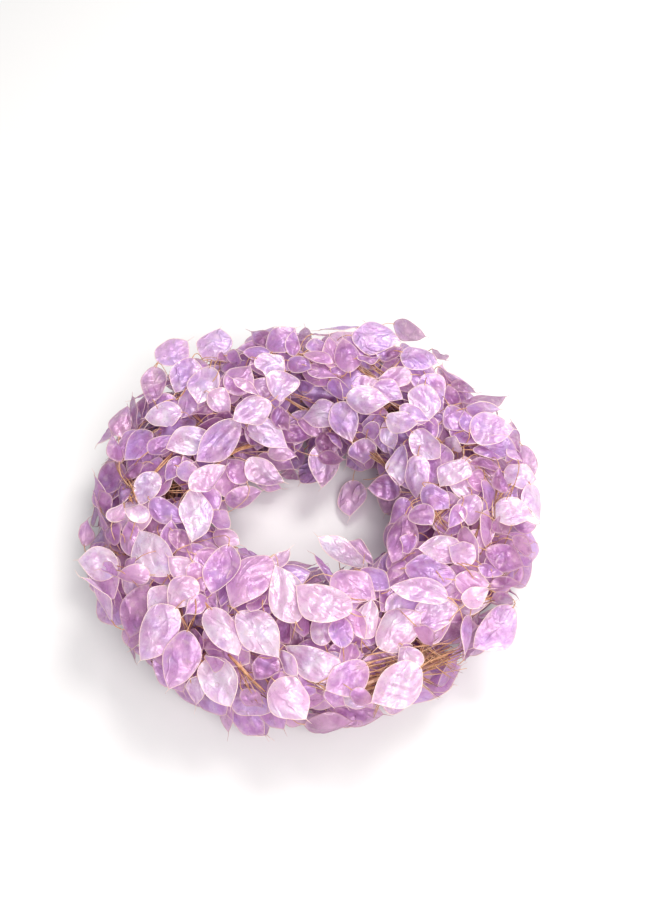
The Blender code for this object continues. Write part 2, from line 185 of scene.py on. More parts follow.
# The first is least, and the second how much more where a pod lies loose: bow as a share of the length, and
# bend, cup and twist in metres
BOWS = (0.012, 0.030)
BENDS = (0.0010, 0.0022)
CUPS = (0.0007, 0.0020)
TWISTS = (0.0005, 0.0012)
RIM_RADIUS = 0.00031
RIM_INSIDE = 0.80  # share of the way to the rim at which its direction outward is taken
RIM_TONES = (0.78, 0.22)  # at the ends, and how much more at the sides
FOLDED_SHARE = 0.22  # of pods as loose as can be
CURL_RADIUS = 0.0028  # how tightly a folded edge bends
CURL_PLACES = (0.40, 0.80)  # share of the half width at which a fold starts
CURL_ANGLES = (0.6, 2.3)
CURL_STRAY = 0.5
RIM_SIDES = 3
STYLE_LENGTHS = (0.004, 0.008)
STYLE_RADIUS = 0.00030
STYLE_TAPER = (1.1, 0.8, 0.6, 0.35)
STYLE_SIDES = 3
STYLE_STRAY = 0.25
STYLE_RIMMED = 0.75  # how far its colour is the rim's, as against a stem's
STEM_FINE_SIDES = 7
STEM_FINE_STEPS = 22
STEM_TAPER = (1.0, 0.55)
STEM_AGE = 0.6
STALK_SIDES = 4
STALK_STEPS = 8
STALK_RADII = (0.00052, 0.00036, 0.00050)  # at the stem, between, and where the pod starts
STALK_PLACES = (0.0, 0.25, 0.8, 1.0)  # where those are along the stalk, the middle one twice
STALK_LEAN = 0.35  # how far a stalk follows its stem where it leaves it
STALK_PULLS = (0.35, 0.4)  # how far each end of the stalk runs straight, as a share of its length
STALK_INTO_POD = 0.001
STALK_RIMMED = 0.30
DENTS = 3
DENT_DEPTHS = (0.00018, 0.00075)
DENT_WAVES = (0.007, 0.016)
RESTING_DENTS = 0.4
RUFFLES = (3, 6)
RUFFLE_DEPTH = 0.0004
RUFFLE_STRENGTHS = (0.2, 1.0)
WRINKLED_POWER = 1.5  # above 1, so that few pods are strongly wrinkled
LAST_PATTERN = 999  # pods draw one of the patterns from 0 to this
PINK_BAND = (0.02, 0.96)  # where the share of pink starts after a pattern's whole number, and how far it goes

# Pods as the photo shows them, each after those that it covers: the pixel of its stalk end, the pixel of its
# tip, its width in pixels, and its look
SHOWN_PODS = (
    # Back left
    (146, 396, 140, 418, 10, "mauve"),
    (212, 362, 228, 356, 12, "mauve"),
    (225, 355, 242, 360, 12, "lilac"),
    (158, 362, 187, 341, 30, "lilac"),
    (192, 358, 175, 392, 30, "wrinkled"),
    (156, 367, 148, 404, 23, "mauve"),
    (207, 361, 219, 325, 34, "wrinkled"),
    (197, 388, 182, 420, 26, "pale"),
    (211, 406, 188, 417, 13, "mauve"),
    (228, 392, 250, 365, 30, "pink"),
    (210, 367, 198, 404, 30, "pearl"),
    (209, 392, 230, 412, 24, "rosy"),
    (137, 430, 131, 396, 11, "mauve"),
    (119, 437, 127, 405, 21, "mauve"),
    (138, 430, 120, 460, 22, "lilac"),
    (119, 462, 114, 434, 8, "mauve"),
    (152, 432, 126, 462, 25, "violet"),
    (182, 412, 145, 418, 26, "pearl"),
    (148, 452, 176, 436, 16, "lilac"),
    (143, 463, 124, 482, 14, "mauve"),
    (124, 503, 120, 481, 16, "lilac"),
    (100, 508, 93, 473, 14, "lilac"),
    (182, 458, 166, 482, 18, "lilac"),
    (198, 492, 180, 458, 20, "pink"),
    (178, 466, 200, 480, 20, "pale"),
    (155, 472, 140, 506, 26, "pearl"),
    (150, 500, 186, 520, 24, "violet"),
    # Left
    (110, 514, 102, 490, 14, "mauve"),
    (110, 546, 93, 495, 9, "mauve"),
    (84, 546, 86, 522, 14, "mauve"),
    (112, 522, 121, 508, 18, "rosy"),
    (135, 522, 140, 502, 24, "pearl"),
    (130, 535, 105, 531, 24, "mauve"),
    (168, 556, 172, 520, 20, "lilac"),
    (172, 530, 190, 548, 18, "mauve"),
    (135, 556, 128, 520, 26, "lilac"),
    (168, 575, 137, 528, 38, "pearl"),
    (136, 560, 121, 576, 14, "lilac"),
    (120, 572, 108, 546, 10, "lilac"),
    (119, 570, 101, 570, 14, "violet"),
    (158, 574, 116, 579, 14, "pink"),
    (150, 585, 129, 638, 34, "mauve"),
    (112, 622, 91, 568, 20, "pale"),
    (167, 575, 150, 560, 16, "rosy"),
    (195, 575, 168, 556, 24, "rosy"),
    (187, 548, 204, 592, 20, "pink"),
    (175, 590, 148, 614, 32, "rosy"),
    (196, 580, 168, 606, 30, "rosy"),
    (118, 566, 77, 560, 33, "pearl"),
    (200, 489, 218, 510, 24, "lilac"),
    (196, 490, 190, 544, 33, "pearl"),
    # Left of the hole
    (214, 412, 232, 424, 12, "shadowed"),
    (190, 430, 230, 425, 10, "mauve"),
    (212, 436, 166, 449, 28, "pearl"),
    (240, 422, 198, 461, 28, "pale"),
    (244, 422, 262, 446, 22, "mauve"),
    (280, 474, 299, 480, 8, "shadowed"),
    (280, 430, 312, 438, 18, "mauve"),
    (258, 456, 294, 470, 20, "pink"),
    (268, 452, 300, 455, 20, "rosy"),
    (249, 424, 288, 448, 27, "pearl"),
    (225, 500, 262, 492, 18, "pink"),
    (247, 482, 228, 458, 24, "pink"),
    (255, 480, 279, 489, 16, "pink"),
    (247, 461, 283, 482, 22, "rosy"),
    (190, 489, 226, 466, 26, "rosy"),
    (214, 532, 238, 541, 20, "rosy"),
    (238, 562, 272, 556, 15, "pink"),
    (272, 570, 288, 547, 16, "rosy"),
    (238, 556, 221, 606, 26, "violet"),
    (270, 557, 232, 607, 34, "pink"),
    (229, 545, 212, 594, 32, "lilac"),
    (300, 600, 302, 638, 16, "mauve"),
    (279, 618, 290, 645, 18, "mauve"),
    (296, 622, 275, 564, 38, "rosy"),
    # Back
    (271, 346, 252, 333, 18, "shadowed"),
    (303, 347, 305, 327, 14, "shadowed"),
    (312, 334, 331, 331, 8, "mauve"),
    (272, 352, 295, 327, 28, "lilac"),
    (292, 356, 294, 331, 14, "lilac"),
    (270, 352, 243, 354, 15, "lilac"),
    (308, 350, 325, 345, 18, "pale"),
    (330, 368, 331, 335, 18, "pink"),
    (350, 372, 343, 337, 26, "pink"),
    (298, 352, 333, 362, 14, "pink"),
    (308, 366, 343, 384, 10, "pink"),
    (296, 384, 313, 386, 12, "violet"),
    (284, 358, 312, 372, 18, "violet"),
    (270, 348, 295, 377, 12, "violet"),
    (256, 358, 284, 378, 26, "pearl"),
    (265, 378, 247, 384, 15, "mauve"),
    (262, 398, 233, 378, 10, "rosy"),
    (285, 372, 280, 400, 34, "pearl"),
    (330, 380, 345, 400, 12, "violet"),
    (312, 405, 334, 389, 18, "pale"),
    (275, 408, 288, 430, 18, "mauve"),
    (287, 408, 306, 432, 18, "pink"),
    (270, 402, 233, 420, 28, "pearl"),
    (330, 402, 352, 412, 24, "pearl"),
    (297, 420, 325, 436, 18, "pink"),
    (340, 412, 302, 418, 28, "pearl"),
    (330, 432, 322, 455, 24, "shadowed"),
    (330, 432, 340, 450, 10, "mauve"),
    (318, 456, 344, 458, 10, "shadowed"),
    (338, 402, 352, 442, 30, "pale"),
    (366, 438, 364, 464, 28, "pale"),
    (380, 428, 361, 433, 16, "pale"),
    # Back right
    (388, 322, 427, 334, 13, "shadowed"),
    (380, 360, 402, 347, 14, "mauve"),
    (357, 358, 380, 357, 12, "lilac"),
    (360, 330, 352, 357, 18, "pale"),
    (352, 335, 401, 340, 32, "wrinkled"),
    (436, 350, 444, 362, 14, "shadowed"),
    (440, 367, 468, 390, 14, "shadowed"),
    (402, 352, 438, 366, 28, "wrinkled"),
    (417, 374, 379, 378, 18, "rosy"),
    (342, 388, 379, 380, 20, "rosy"),
    (350, 405, 390, 412, 14, "pink"),
    (372, 388, 403, 400, 30, "pale"),
    (346, 398, 389, 402, 27, "pearl"),
    (450, 385, 476, 393, 14, "shadowed"),
    (458, 410, 452, 381, 17, "mauve"),
    (446, 400, 462, 432, 22, "violet"),
    (440, 395, 455, 430, 14, "lilac"),
    (425, 374, 443, 412, 30, "pale"),
    (425, 384, 418, 426, 33, "pearl"),
    (461, 403, 505, 394, 18, "shadowed"),
    (466, 408, 498, 404, 9, "pale"),
    (400, 406, 430, 420, 18, "pale"),
    (385, 421, 392, 446, 18, "pearl"),
    (386, 418, 418, 425, 22, "pearl"),
    # Right
    (470, 435, 464, 411, 16, "violet"),
    (515, 455, 519, 420, 16, "mauve"),
    (522, 445, 535, 478, 20, "mauve"),
    (480, 445, 517, 450, 18, "violet"),
    (473, 450, 503, 455, 14, "lilac"),
    (470, 430, 514, 428, 34, "pale"),
    (518, 460, 511, 449, 10, "pale"),
    (466, 462, 502, 470, 14, "mauve"),
    (500, 468, 507, 494, 14, "mauve"),
    (462, 478, 496, 486, 22, "pink"),
    (530, 484, 518, 500, 12, "mauve"),
    (504, 472, 537, 479, 25, "pearl"),
    (530, 484, 541, 521, 20, "pearl"),
    (461, 446, 441, 446, 14, "pearl"),
    (412, 432, 440, 458, 30, "pearl"),
    (403, 445, 399, 486, 22, "pearl"),
    (418, 455, 415, 497, 24, "pale"),
    (466, 460, 440, 486, 32, "pearl"),
    (424, 486, 449, 508, 26, "violet"),
    (447, 488, 474, 496, 20, "pearl"),
    (485, 480, 489, 514, 16, "lilac"),
    (468, 515, 471, 540, 19, "pink"),
    (472, 494, 468, 525, 26, "pale"),
    (462, 505, 449, 528, 16, "lilac"),
    (460, 520, 476, 572, 12, "pink"),
    (488, 505, 484, 550, 14, "pink"),
    (494, 520, 508, 534, 15, "mauve"),
    (500, 530, 537, 524, 16, "mauve"),
    (498, 536, 534, 541, 8, "mauve"),
    (512, 540, 532, 552, 18, "shadowed"),
    (492, 512, 534, 516, 27, "pearl"),
    (490, 586, 520, 583, 9, "shadowed"),
    (495, 592, 512, 604, 14, "shadowed"),
    (486, 550, 524, 566, 28, "mauve"),
    (478, 567, 504, 573, 15, "violet"),
    # Right of the hole
    (400, 492, 369, 488, 24, "mauve"),
    (409, 500, 390, 524, 18, "lilac"),
    (405, 515, 392, 562, 30, "mauve"),
    (413, 508, 432, 525, 24, "lilac"),
    (415, 535, 404, 552, 14, "violet"),
    (403, 560, 388, 582, 16, "mauve"),
    # Front right
    (335, 585, 317, 552, 12, "violet"),
    (345, 541, 375, 562, 18, "pink"),
    (366, 568, 318, 538, 30, "pearl"),
    (360, 570, 390, 592, 26, "violet"),
    (332, 576, 376, 600, 34, "pink"),
    (462, 552, 418, 549, 28, "pale"),
    (475, 560, 450, 548, 24, "pale"),
    (405, 568, 456, 576, 34, "violet"),
    (455, 580, 489, 584, 26, "pink"),
    (465, 605, 488, 590, 20, "rosy"),
    (415, 615, 459, 606, 34, "wrinkled"),
    (448, 598, 391, 588, 29, "pale"),
    (362, 638, 372, 599, 26, "rosy"),
    (345, 605, 364, 640, 18, "pink"),
    (355, 644, 342, 663, 18, "pink"),
    (378, 647, 421, 613, 38, "rosy"),
    (325, 645, 315, 612, 22, "pale"),
    (343, 648, 338, 614, 24, "violet"),
    (350, 613, 297, 586, 38, "rosy"),
    (340, 671, 284, 648, 32, "pearl"),
    (398, 640, 412, 655, 14, "lilac"),
    (416, 626, 430, 638, 14, "mauve"),
    (470, 615, 463, 655, 12, "lilac"),
    (514, 607, 474, 648, 36, "lilac"),
    # Front left
    (205, 640, 222, 652, 14, "shadowed"),
    (205, 658, 226, 662, 14, "lilac"),
    (224, 650, 232, 668, 12, "mauve"),
    (190, 632, 207, 650, 14, "mauve"),
    (207, 598, 187, 612, 18, "lilac"),
    (204, 620, 183, 615, 18, "rosy"),
    (275, 655, 255, 679, 27, "mauve"),
    (280, 652, 298, 676, 15, "pale"),
    (262, 596, 250, 612, 14, "lilac"),
    (245, 640, 228, 606, 18, "pale"),
    (208, 609, 238, 656, 32, "pearl"),
    (238, 612, 279, 658, 38, "pearl"),
    (176, 608, 140, 660, 38, "pale"),
    (187, 631, 168, 688, 36, "lilac"),
    (196, 662, 197, 700, 20, "pale"),
    (205, 660, 232, 706, 40, "pearl"),
    (284, 672, 268, 704, 20, "mauve"),
    (242, 690, 262, 706, 18, "mauve"),
    (275, 681, 305, 718, 42, "rosy"),
    (326, 690, 345, 705, 20, "lilac"),
    (367, 665, 326, 690, 34, "lilac"),
    (352, 690, 372, 704, 14, "mauve"),
    (415, 670, 402, 652, 26, "pale"),
    (420, 668, 372, 702, 40, "pale"),
)
LOOKS = {
    # How pale, how pink and how wrinkled, each from 0 to 1. Paleness is partly the dye and partly painted
    # light and shade: the darkest look is painted shadow, the mauve one partly painted shade, and the palest
    # partly painted light
    "pearl": (0.94, 0.45, 0.35),
    "rosy": (0.84, 0.80, 0.30),
    "pale": (0.76, 0.40, 0.35),
    "wrinkled": (0.78, 0.30, 1.00),
    "lilac": (0.52, 0.42, 0.40),
    "violet": (0.46, 0.10, 0.45),
    "pink": (0.50, 0.85, 0.30),
    "mauve": (0.22, 0.60, 0.45),
    "shadowed": (0.05, 0.60, 0.40),
}
SHOWN_LENGTHS = (0.022, 0.052)
SHOWN_SHORTER = 0.55  # how much of its length a small pod may lose at its covered end
SHORTER_FROM = 0.3  # share of the tries before it loses any
SHOWN_LEAST_WIDTH = 0.58  # of the length; a pod that looks narrower is seen aslant
SHOWN_MOST_WIDTH = 0.98
SHOWN_WIDTH_ROOM = 1.08  # how much broader a draw may come out before it is dropped
SHOWN_LEAST_SEEN = 0.50  # share of its real width that the photo is taken to show at least
SHOWN_START = 0.060  # how far in front of the foliage it starts before it is lowered onto the others
SHOWN_DEEPEST = 0.012  # how far behind the foliage's outline it may come to lie
SHOWN_GAP = 0.0005
LOWER_TRIES = 8
LOWER_STEP = 0.0012
SHOWN_TRIES = 60
SHOWN_CHOICES = 4  # tries that work, of which the one that stands out least is kept
SHOWN_LIFT = 0.0022  # room left under a broad pod for those that it covers
SHOWN_TILT = 0.22
FIRST_TILT = 0.4  # share of that tilt at the first try
SHOWN_FLATNESS = (0.0, 0.8)  # how far a shown pod turns from facing the camera towards lying level
# Parts of its normal: out of the ring, to the camera, and up. As the pod turns flat, the first fades, the
# second loses its last number, and the third gains it
SHOWN_OUTWARD = 0.55
SHOWN_TO_CAMERA = (0.75, 0.35)
SHOWN_UPWARD = (0.35, 0.9)
# Leans in radians, tried in turn on a pod that looks too short
SHOWN_LEANS = (0.0, 0.35, -0.35, 0.6, -0.6, 0.8, -0.8, 1.0)
LEAST_FACING = 0.25  # how far it faces the camera at least, as a cosine
NARROWEST = 0.2  # share of its width that a pod shows at least where it is rolled aslant
SHOWN_LOOSE = 0.8
BROAD_WIDTH = 25  # in pixels
WHOLE_WIDTH = 33  # in pixels; pods from this width on have no folded edge
SHOWN_STALKS = (0.003, 0.070)
ROOT_REACH = 0.14  # from a pod to the middle of a stem that may carry it
BEND_COST = 0.020  # how much longer a stalk may be if it is straight
HIDDEN_REACH = 0.12  # how far behind a filling pod one of the photo is looked for
STYLES_TOP = 0.1022  # highest place of a style's middle line
SHEETS_TOP = 0.1010  # highest reach of a shown pod's sheet, which leaves room for its rim and style
SHEETS_OUTER = 0.198  # furthest reach of a shown pod's sheet
HANGING_LOOK = (0.80, 0.78, 0.90)
# Painted light: pods that rest on the floor are painted at least this pale, to make up for the light that
# reaches them less
RESTING_PAINTED_LIGHT = 0.72

# Camera of the photo
PHOTO_SIZE = (645, 903)
CAMERA_PLACE = Vector((0.0303, -0.4181, 0.7982))
CAMERA_PITCH = 57.854
CAMERA_YAW = 2.457
CAMERA_ROLL = 2.228
FOCAL_PIXELS = 1042.6
SENSOR = 36.0
CLIP_START = 0.01

# Steps along a line of sight from the camera until it enters the foliage
RAY_START = 0.70
RAY_STEP = 0.003
RAY_STEPS = 160
RAY_FLOOR = 0.004

# Studio
FLOOR_REACH = 4.0
LIGHTS_TARGET = Vector((0.0, 0.0, 0.04))
LIGHTS = (
    # Name, place, diameter, power in watts, and colour
    ("key", (0.50, 0.65, 1.40), 0.7, 18.5, (1.0, 0.985, 0.96)),
    ("fill", (0.40, -0.90, 1.20), 1.0, 18.5, (1.0, 0.985, 0.97)),
)
SKY_COLOUR = (0.96, 0.97, 1.0, 1.0)
SKY_STRENGTH = 0.62


def camera_axes():
    """Directions to the right of the photo, to its top and into it."""
    pitch, yaw, roll = (math.radians(a) for a in (CAMERA_PITCH, CAMERA_YAW, CAMERA_ROLL))
    turned = Matrix.Rotation(yaw, 3, "Z")
    right = turned @ Vector((1.0, 0.0, 0.0))
    up = turned @ Vector((0.0, math.sin(pitch), math.cos(pitch)))
    ahead = turned @ Vector((0.0, math.cos(pitch), -math.sin(pitch)))
    return right * math.cos(roll) - up * math.sin(roll), right * math.sin(roll) + up * math.cos(roll), ahead


def outward(angle, turn):
    """Direction away from the ring's middle, at an angle round the wreath and a turn round its section."""
    return Vector((math.cos(turn) * math.cos(angle), math.cos(turn) * math.sin(angle), math.sin(turn)))


def along(angle):
    """Direction along the ring."""
    return Vector((-math.sin(angle), math.cos(angle), 0.0))


def ring_point(angle, turn, reach):
    """Point that stands a reach away from the ring's middle."""
    middle = Vector((RING_RADIUS * math.cos(angle), RING_RADIUS * math.sin(angle), RING_HEIGHT))
    return middle + outward(angle, turn) * reach


def inward_width(angle):
    """How far the foliage reaches into the hole, which is wider than it is deep."""
    at_sides, at_front = SECTION_INWARD
    return at_sides + (at_front - at_sides) * math.sin(angle) ** 2


def section_reach(angle, turn):
    """How far the foliage stands from the ring's middle at a turn round the section."""
    width = SECTION_OUTWARD if math.cos(turn) > 0 else inward_width(angle)
    height = SECTION_RISE if math.sin(turn) > 0 else SECTION_DROP
    return 1.0 / math.hypot(math.cos(turn) / width, math.sin(turn) / height)


def reaches_into_hole(point, room=0.0):
    """Whether a point stands nearer to the wreath's axis than a pod may."""
    angle = math.atan2(point.y, point.x)
    return point.xy.length < RING_RADIUS - inward_width(angle) - HOLE_MARGIN - room


def tube(points, radius, sides, closed=False):
    """Vertices and faces of a tube along points. A closed tube follows the ring, and an open one has caps."""
    vertices, faces = [], []
    count = len(points)
    side = Vector((0.0, 0.0, 1.0))
    for i, point in enumerate(points):
        after = points[(i + 1) % count] if closed or i < count - 1 else point
        before = points[i - 1] if closed or i > 0 else point
        forward = (after - before).normalized()
        if closed:
            angle = math.atan2(point.y, point.x)
            side = point - ring_point(angle, 0.0, 0.0)
        elif i == 0:
            side = forward.cross(side)
        side = (side - forward * side.dot(forward)).normalized()
        other = forward.cross(side)
        for k in range(sides):
            a = math.tau * k / sides
            vertices.append(point + side * (radius * math.cos(a)) + other * (radius * math.sin(a)))
    for i in range(count if closed else count - 1):
        here, there = i * sides, ((i + 1) % count) * sides
        for k in range(sides):
            n = (k + 1) % sides
            faces.append((here + k, here + n, there + n, there + k))
    if not closed:
        faces.append(tuple(reversed(range(sides))))
        faces.append(tuple(range((count - 1) * sides, count * sides)))
    return vertices, faces


def stem_ring_shape():
    """The bound stems of the CAD model: a ring with twisted lobes."""
    across = STEM_RING_LOBES * 2
    vertices, faces = [], []
    for i in range(STEM_RING_STEPS):
        angle = math.tau * i / STEM_RING_STEPS
        for k in range(across):
            turn = math.tau * k / across + STEM_RING_TWISTS * angle
            reach = STEM_RING_RADIUS - (STEM_RING_LOBE_DEPTH if k % 2 else 0.0)
            vertices.append(ring_point(angle, turn, reach))
    for i in range(STEM_RING_STEPS):
        here, there = i * across, ((i + 1) % STEM_RING_STEPS) * across
        for k in range(across):
            n = (k + 1) % across
            faces.append((here + k, there + k, there + n, here + n))
    return vertices, faces


def hoop_shape(sides=HOOP_SIDES, steps=STEM_RING_STEPS):
    """The wire hoop, which lies against the underside of the bound stems."""
    turn = math.radians(HOOP_TURN)
    reach = STEM_RING_RADIUS + SEAT_GAP + HOOP_WIRE_RADIUS
    points = [ring_point(math.tau * i / steps, turn, reach) for i in range(steps)]
    return tube(points, HOOP_WIRE_RADIUS, sides, closed=True)


def binding_shape(sides=BINDING_SIDES, per_turn=BINDING_POINTS_PER_TURN):
    """The binding wire: one turn for each bunch, bent where it passes over the hoop and each lane's stem."""
    reach = STEM_RING_RADIUS + 2 * SEAT_GAP + 2 * HOOP_WIRE_RADIUS + BINDING_WIRE_RADIUS
    count = BUNCHES * per_turn
    points = []
    for i in range(count):
        turn = math.radians(FIRST_TURN) + math.tau * i / per_turn
        points.append(ring_point(math.tau * i / count, turn, reach))
    return tube(points, BINDING_WIRE_RADIUS, sides, closed=True)


def spray_stem(bunch, lane):
    """Points along a spray's stem: three on the ring, under the binding wire, then four that rise off it."""
    dice = random.Random(SEED + 31 * bunch + int(lane.turn))
    crossing = math.tau * (bunch + (lane.turn - FIRST_TURN) / 360.0) / BUNCHES
    turn = math.radians(lane.turn)
    drift = math.radians(lane.drift + dice.uniform(-DRIFT_SPREAD, DRIFT_SPREAD))
    rise = STEM_RISE * dice.uniform(*RISE_SHARES)
    seat = STEM_RING_RADIUS + SEAT_GAP + STEM_RADIUS
    lane_radius = RING_RADIUS + seat * math.cos(turn)
    points = []
    for step in (-0.5, 0.0, 0.5):
        points.append(ring_point(crossing + BOUND_LENGTH * step / lane_radius, turn, seat))
    start = crossing + 0.5 * BOUND_LENGTH / lane_radius
    for step in (0.25, 0.5, 0.75, 1.0):
        angle = start + FREE_LENGTH * step / RING_RADIUS
        points.append(ring_point(angle, turn + drift * step, seat + rise * step))
    return points


def point_on_stem(points, share):
    """Point on the free part of a stem, at a share of its length."""
    free = points[2:]
    place = share * (len(free) - 1)
    i = min(int(place), len(free) - 2)
    return free[i].lerp(free[i + 1], place - i)


def stalk_section(middle, side, up, radius):
    """The three corners of a CAD stalk: low left, low right and high."""
    return [
        middle - side * (CORNER_ASIDE * radius) - up * (CORNER_DOWN * radius),
        middle + side * (CORNER_ASIDE * radius) - up * (CORNER_DOWN * radius),
        middle + up * radius,
    ]


def pod_shape(pod, grow=0.0):
    """Vertices and faces of a CAD pod with its stalk, and the number of faces that belong to the blade."""
    base, axis, normal, root = pod["base"], pod["axis"], pod["normal"], pod["root"]
    length, half = pod["length"] + grow, pod["width"] / 2 + grow
    across = axis.cross(normal)
    right, left = [], []
    for (share, spread), (wave_right, wave_left) in zip(POD_OUTLINE, pod["waves"]):
        spine = base + axis * (share * length)
        right.append(spine + across * (spread * half) + normal * wave_right)
        left.append(spine - across * (spread * half) + normal * wave_left)
    middle = base + axis * (length / 2) + normal * pod["crown"]
    thick = POD_THICKNESS / 2 + grow
    top, bottom = middle + normal * thick, middle - normal * thick

    lean = ((base - root).normalized() + axis).normalized()
    side = lean.cross(normal).normalized()
    up = side.cross(lean)
    foot = stalk_section(base, side, up, STALK_RADIUS + grow)
    if pod["rests"]:
        top, bottom = middle + normal * (2 * thick), middle
        for corner in foot:
            corner.z = max(corner.z, 0.0)

    rim = right + [base + axis * length] + left[::-1]
    vertices = foot + rim + [top, bottom] + stalk_section(root, side, up, STALK_RADIUS + grow)
    low_left, low_right, high = 0, 1, 2
    rim_at = list(range(len(foot), len(foot) + len(rim)))
    top_at, bottom_at = rim_at[-1] + 1, rim_at[-1] + 2
    upper = [high, low_right] + rim_at + [low_left]
    lower = [low_right] + rim_at + [low_left]
    faces = [(upper[i - 1], upper[i], top_at) for i in range(len(upper))]
    faces += [(lower[i], lower[i - 1], bottom_at) for i in range(len(lower))]
    blade_faces = len(faces)
    far = bottom_at + 1
    for k in range(3):
        n = (k + 1) % 3
        faces.append((n, k, far + k, far + n))
    faces.append((far + 2, far + 1, far))
    return vertices, faces, blade_faces


class Placed:
    """Something that stands in the wreath, with what is needed to tell whether another thing crosses it."""

    def __init__(self, vertices, faces):
        low = Vector((min(v[i] for v in vertices) for i in range(3)))
        high = Vector((max(v[i] for v in vertices) for i in range(3)))
        self.middle = (low + high) / 2
        self.radius = max((v - self.middle).length for v in vertices)
        self.tree = BVHTree.FromPolygons(vertices, faces)

    def crosses(self, other):
        if (self.middle - other.middle).length > self.radius + other.radius:
            return False
        return bool(self.tree.overlap(other.tree))


def fits(pod, own_stem, placed):
    """The pod as something placed, or None where it crosses something or leaves the wreath's outline."""
    vertices, _, _ = pod_shape(pod)
    if min(v.z for v in vertices) < (0.0 if pod["rests"] else CLEARANCE):
        return None
    if max(v.z for v in vertices) > TOP_HEIGHT or max(v.xy.length for v in vertices) > OUTER_RADIUS:
        return None
    if not pod["hangs"] and any(reaches_into_hole(v) for v in vertices):
        return None
    if on_bare_spot(pod):
        return None
    grown, faces, blade_faces = pod_shape(pod, CLEARANCE)
    if Placed(grown, faces[:blade_faces]).crosses(own_stem):
        return None
    candidate = Placed(grown, faces)
    if any(other is not own_stem and candidate.crosses(other) for other in placed):
        return None
    return candidate


def on_bare_spot(pod):
    """Whether a pod would cover the spot where the stems show."""
    bare = ring_point(math.radians(BARE_SPOT[0]), math.radians(BARE_SPOT[1]), BARE_SPOT[2])
    return (pod["base"] + pod["axis"] * (pod["length"] / 2) - bare).length < BARE_RADIUS


def make_pod(dice, base, axis, normal, root, length, kind="covers"):
    """A pod's facts, with its width, crown and waves drawn."""
    flat = kind == "rests"
    wave = 0.0 if flat else RIM_WAVE
    return {
        "base": base,
        "axis": axis,
        "normal": normal,
        "root": root,
        "length": length,
        "waves": [(dice.uniform(-wave, wave), dice.uniform(-wave, wave)) for _ in POD_OUTLINE],
        "width": length * dice.uniform(*POD_WIDTH_SHARES),
        "crown": 0.0 if flat else dice.choice((-1.0, 1.0, 1.0)) * dice.uniform(*POD_CROWNS),
        "rests": flat,
        "hangs": kind == "hangs",
    }


def stalk_root(dice, stem, base, axis, lengths=STALK_LENGTHS):
    """The place on a stem from which a stalk runs to a pod's base with the least bend, or None."""
    root, straightest = None, LEAST_STALK_DOT
    for k in range(ROOT_CHOICES):
        start = point_on_stem(stem, (k + dice.random()) / ROOT_CHOICES)
        stalk = base - start
        if lengths[0] < stalk.length < lengths[1]:
            straight = stalk.normalized().dot(axis)
            if straight > straightest:
                root, straightest = start, straight
    return root


def draw_pose(dice, angle, turn, tilt):
    """The way out of the ring at a place, and the normal and axis of a pod there, if it has an axis."""
    facing = outward(angle, turn)
    lean = dice.uniform(*UPWARD_LEANS) * (1.0 if facing.z > UNDERSIDE else -1.0)
    normal = facing + Vector((dice.gauss(0.0, tilt), dice.gauss(0.0, tilt), lean + dice.gauss(0.0, tilt)))
    normal.normalize()
    spread = Vector((facing.x, facing.y, 0.0)) * dice.gauss(*OUTWARD_SPREAD)
    forward = along(angle) * dice.gauss(*FORWARD_SPREAD)
    axis = forward + spread + Vector((0.0, 0.0, dice.gauss(*UPRIGHT_SPREAD)))
    axis -= normal * axis.dot(normal)
    return facing, normal, None if axis.length < LEAST_AXIS else axis.normalized()


def base_within(reach, angle, turn, facing, axis, length):
    """Where a pod's base lies so that its outer end keeps to a reach."""
    reach -= length / 2 * max(0.0, axis.dot(facing))
    return ring_point(angle, turn, reach) - axis * (length / 2)


def covering_pod(dice, stem, share, target_turn, layer, effort):
    """One try at a pod whose middle stands near a share of a stem, or None where no stalk would reach it."""
    below = point_on_stem(stem, share)
    lead = dice.uniform(*POD_LEADS) / RING_RADIUS
    stray = dice.gauss(0.0, ANGLE_SPREAD[0] + ANGLE_SPREAD[1] * effort)
    angle = math.atan2(below.y, below.x) + lead + stray
    turn = math.radians(target_turn + dice.gauss(0.0, TURN_SPREAD[0] + TURN_SPREAD[1] * effort))
    length = dice.uniform(*POD_LENGTHS) * (1.0 - LAST_SHRINK * effort)
    facing, normal, axis = draw_pose(dice, angle, turn, FACE_TILT + DEEP_TILT * (1.0 - layer))
    if axis is None:
        return None
    reach = section_reach(angle, turn) * (layer + dice.uniform(*LAYER_SPREAD) * (1.0 + effort))
    base = base_within(reach, angle, turn, facing, axis, length)
    root = stalk_root(dice, stem, base, axis)
    return root and make_pod(dice, base, axis, normal, root, length)


def resting_pod(dice, stem):
    """One try at a pod that lies flat on the surface and carries the wreath."""
    root = point_on_stem(stem, dice.uniform(*RESTING_SHARES))
    heading = math.atan2(root.y, root.x) + math.pi / 2 + dice.uniform(-RESTING_HEADINGS, RESTING_HEADINGS)
    axis = Vector((math.cos(heading), math.sin(heading), 0.0))
    base = Vector((root.x, root.y, 0.0)) + axis * dice.uniform(*RESTING_RUNS)
    return make_pod(dice, base, axis, Vector((0.0, 0.0, 1.0)), root, dice.uniform(*POD_LENGTHS), "rests")


def hanging_pod(dice, stem, place):
    """One try at a pod that hangs from a long stalk into the hole, facing up and to the front, or None."""
    def stray(spread):
        return Vector((dice.gauss(0.0, spread), dice.gauss(0.0, spread), 0.0))

    normal = (HANGING_FACE + stray(HANGING_SPREADS[0])).normalized()
    axis = HANGING_AXIS + stray(HANGING_SPREADS[1])
    axis = (axis - normal * axis.dot(normal)).normalized()
    length = dice.uniform(*POD_LENGTHS)
    base = Vector(place) + stray(HANGING_STRAY) - axis * (length / 2)
    root = point_on_stem(stem, dice.random())
    stalk = base - root
    if stalk.length > HANGING_STALK or stalk.normalized().dot(axis) < LEAST_STALK_DOT:
        return None
    return make_pod(dice, base, axis, normal, root, length, "hangs")


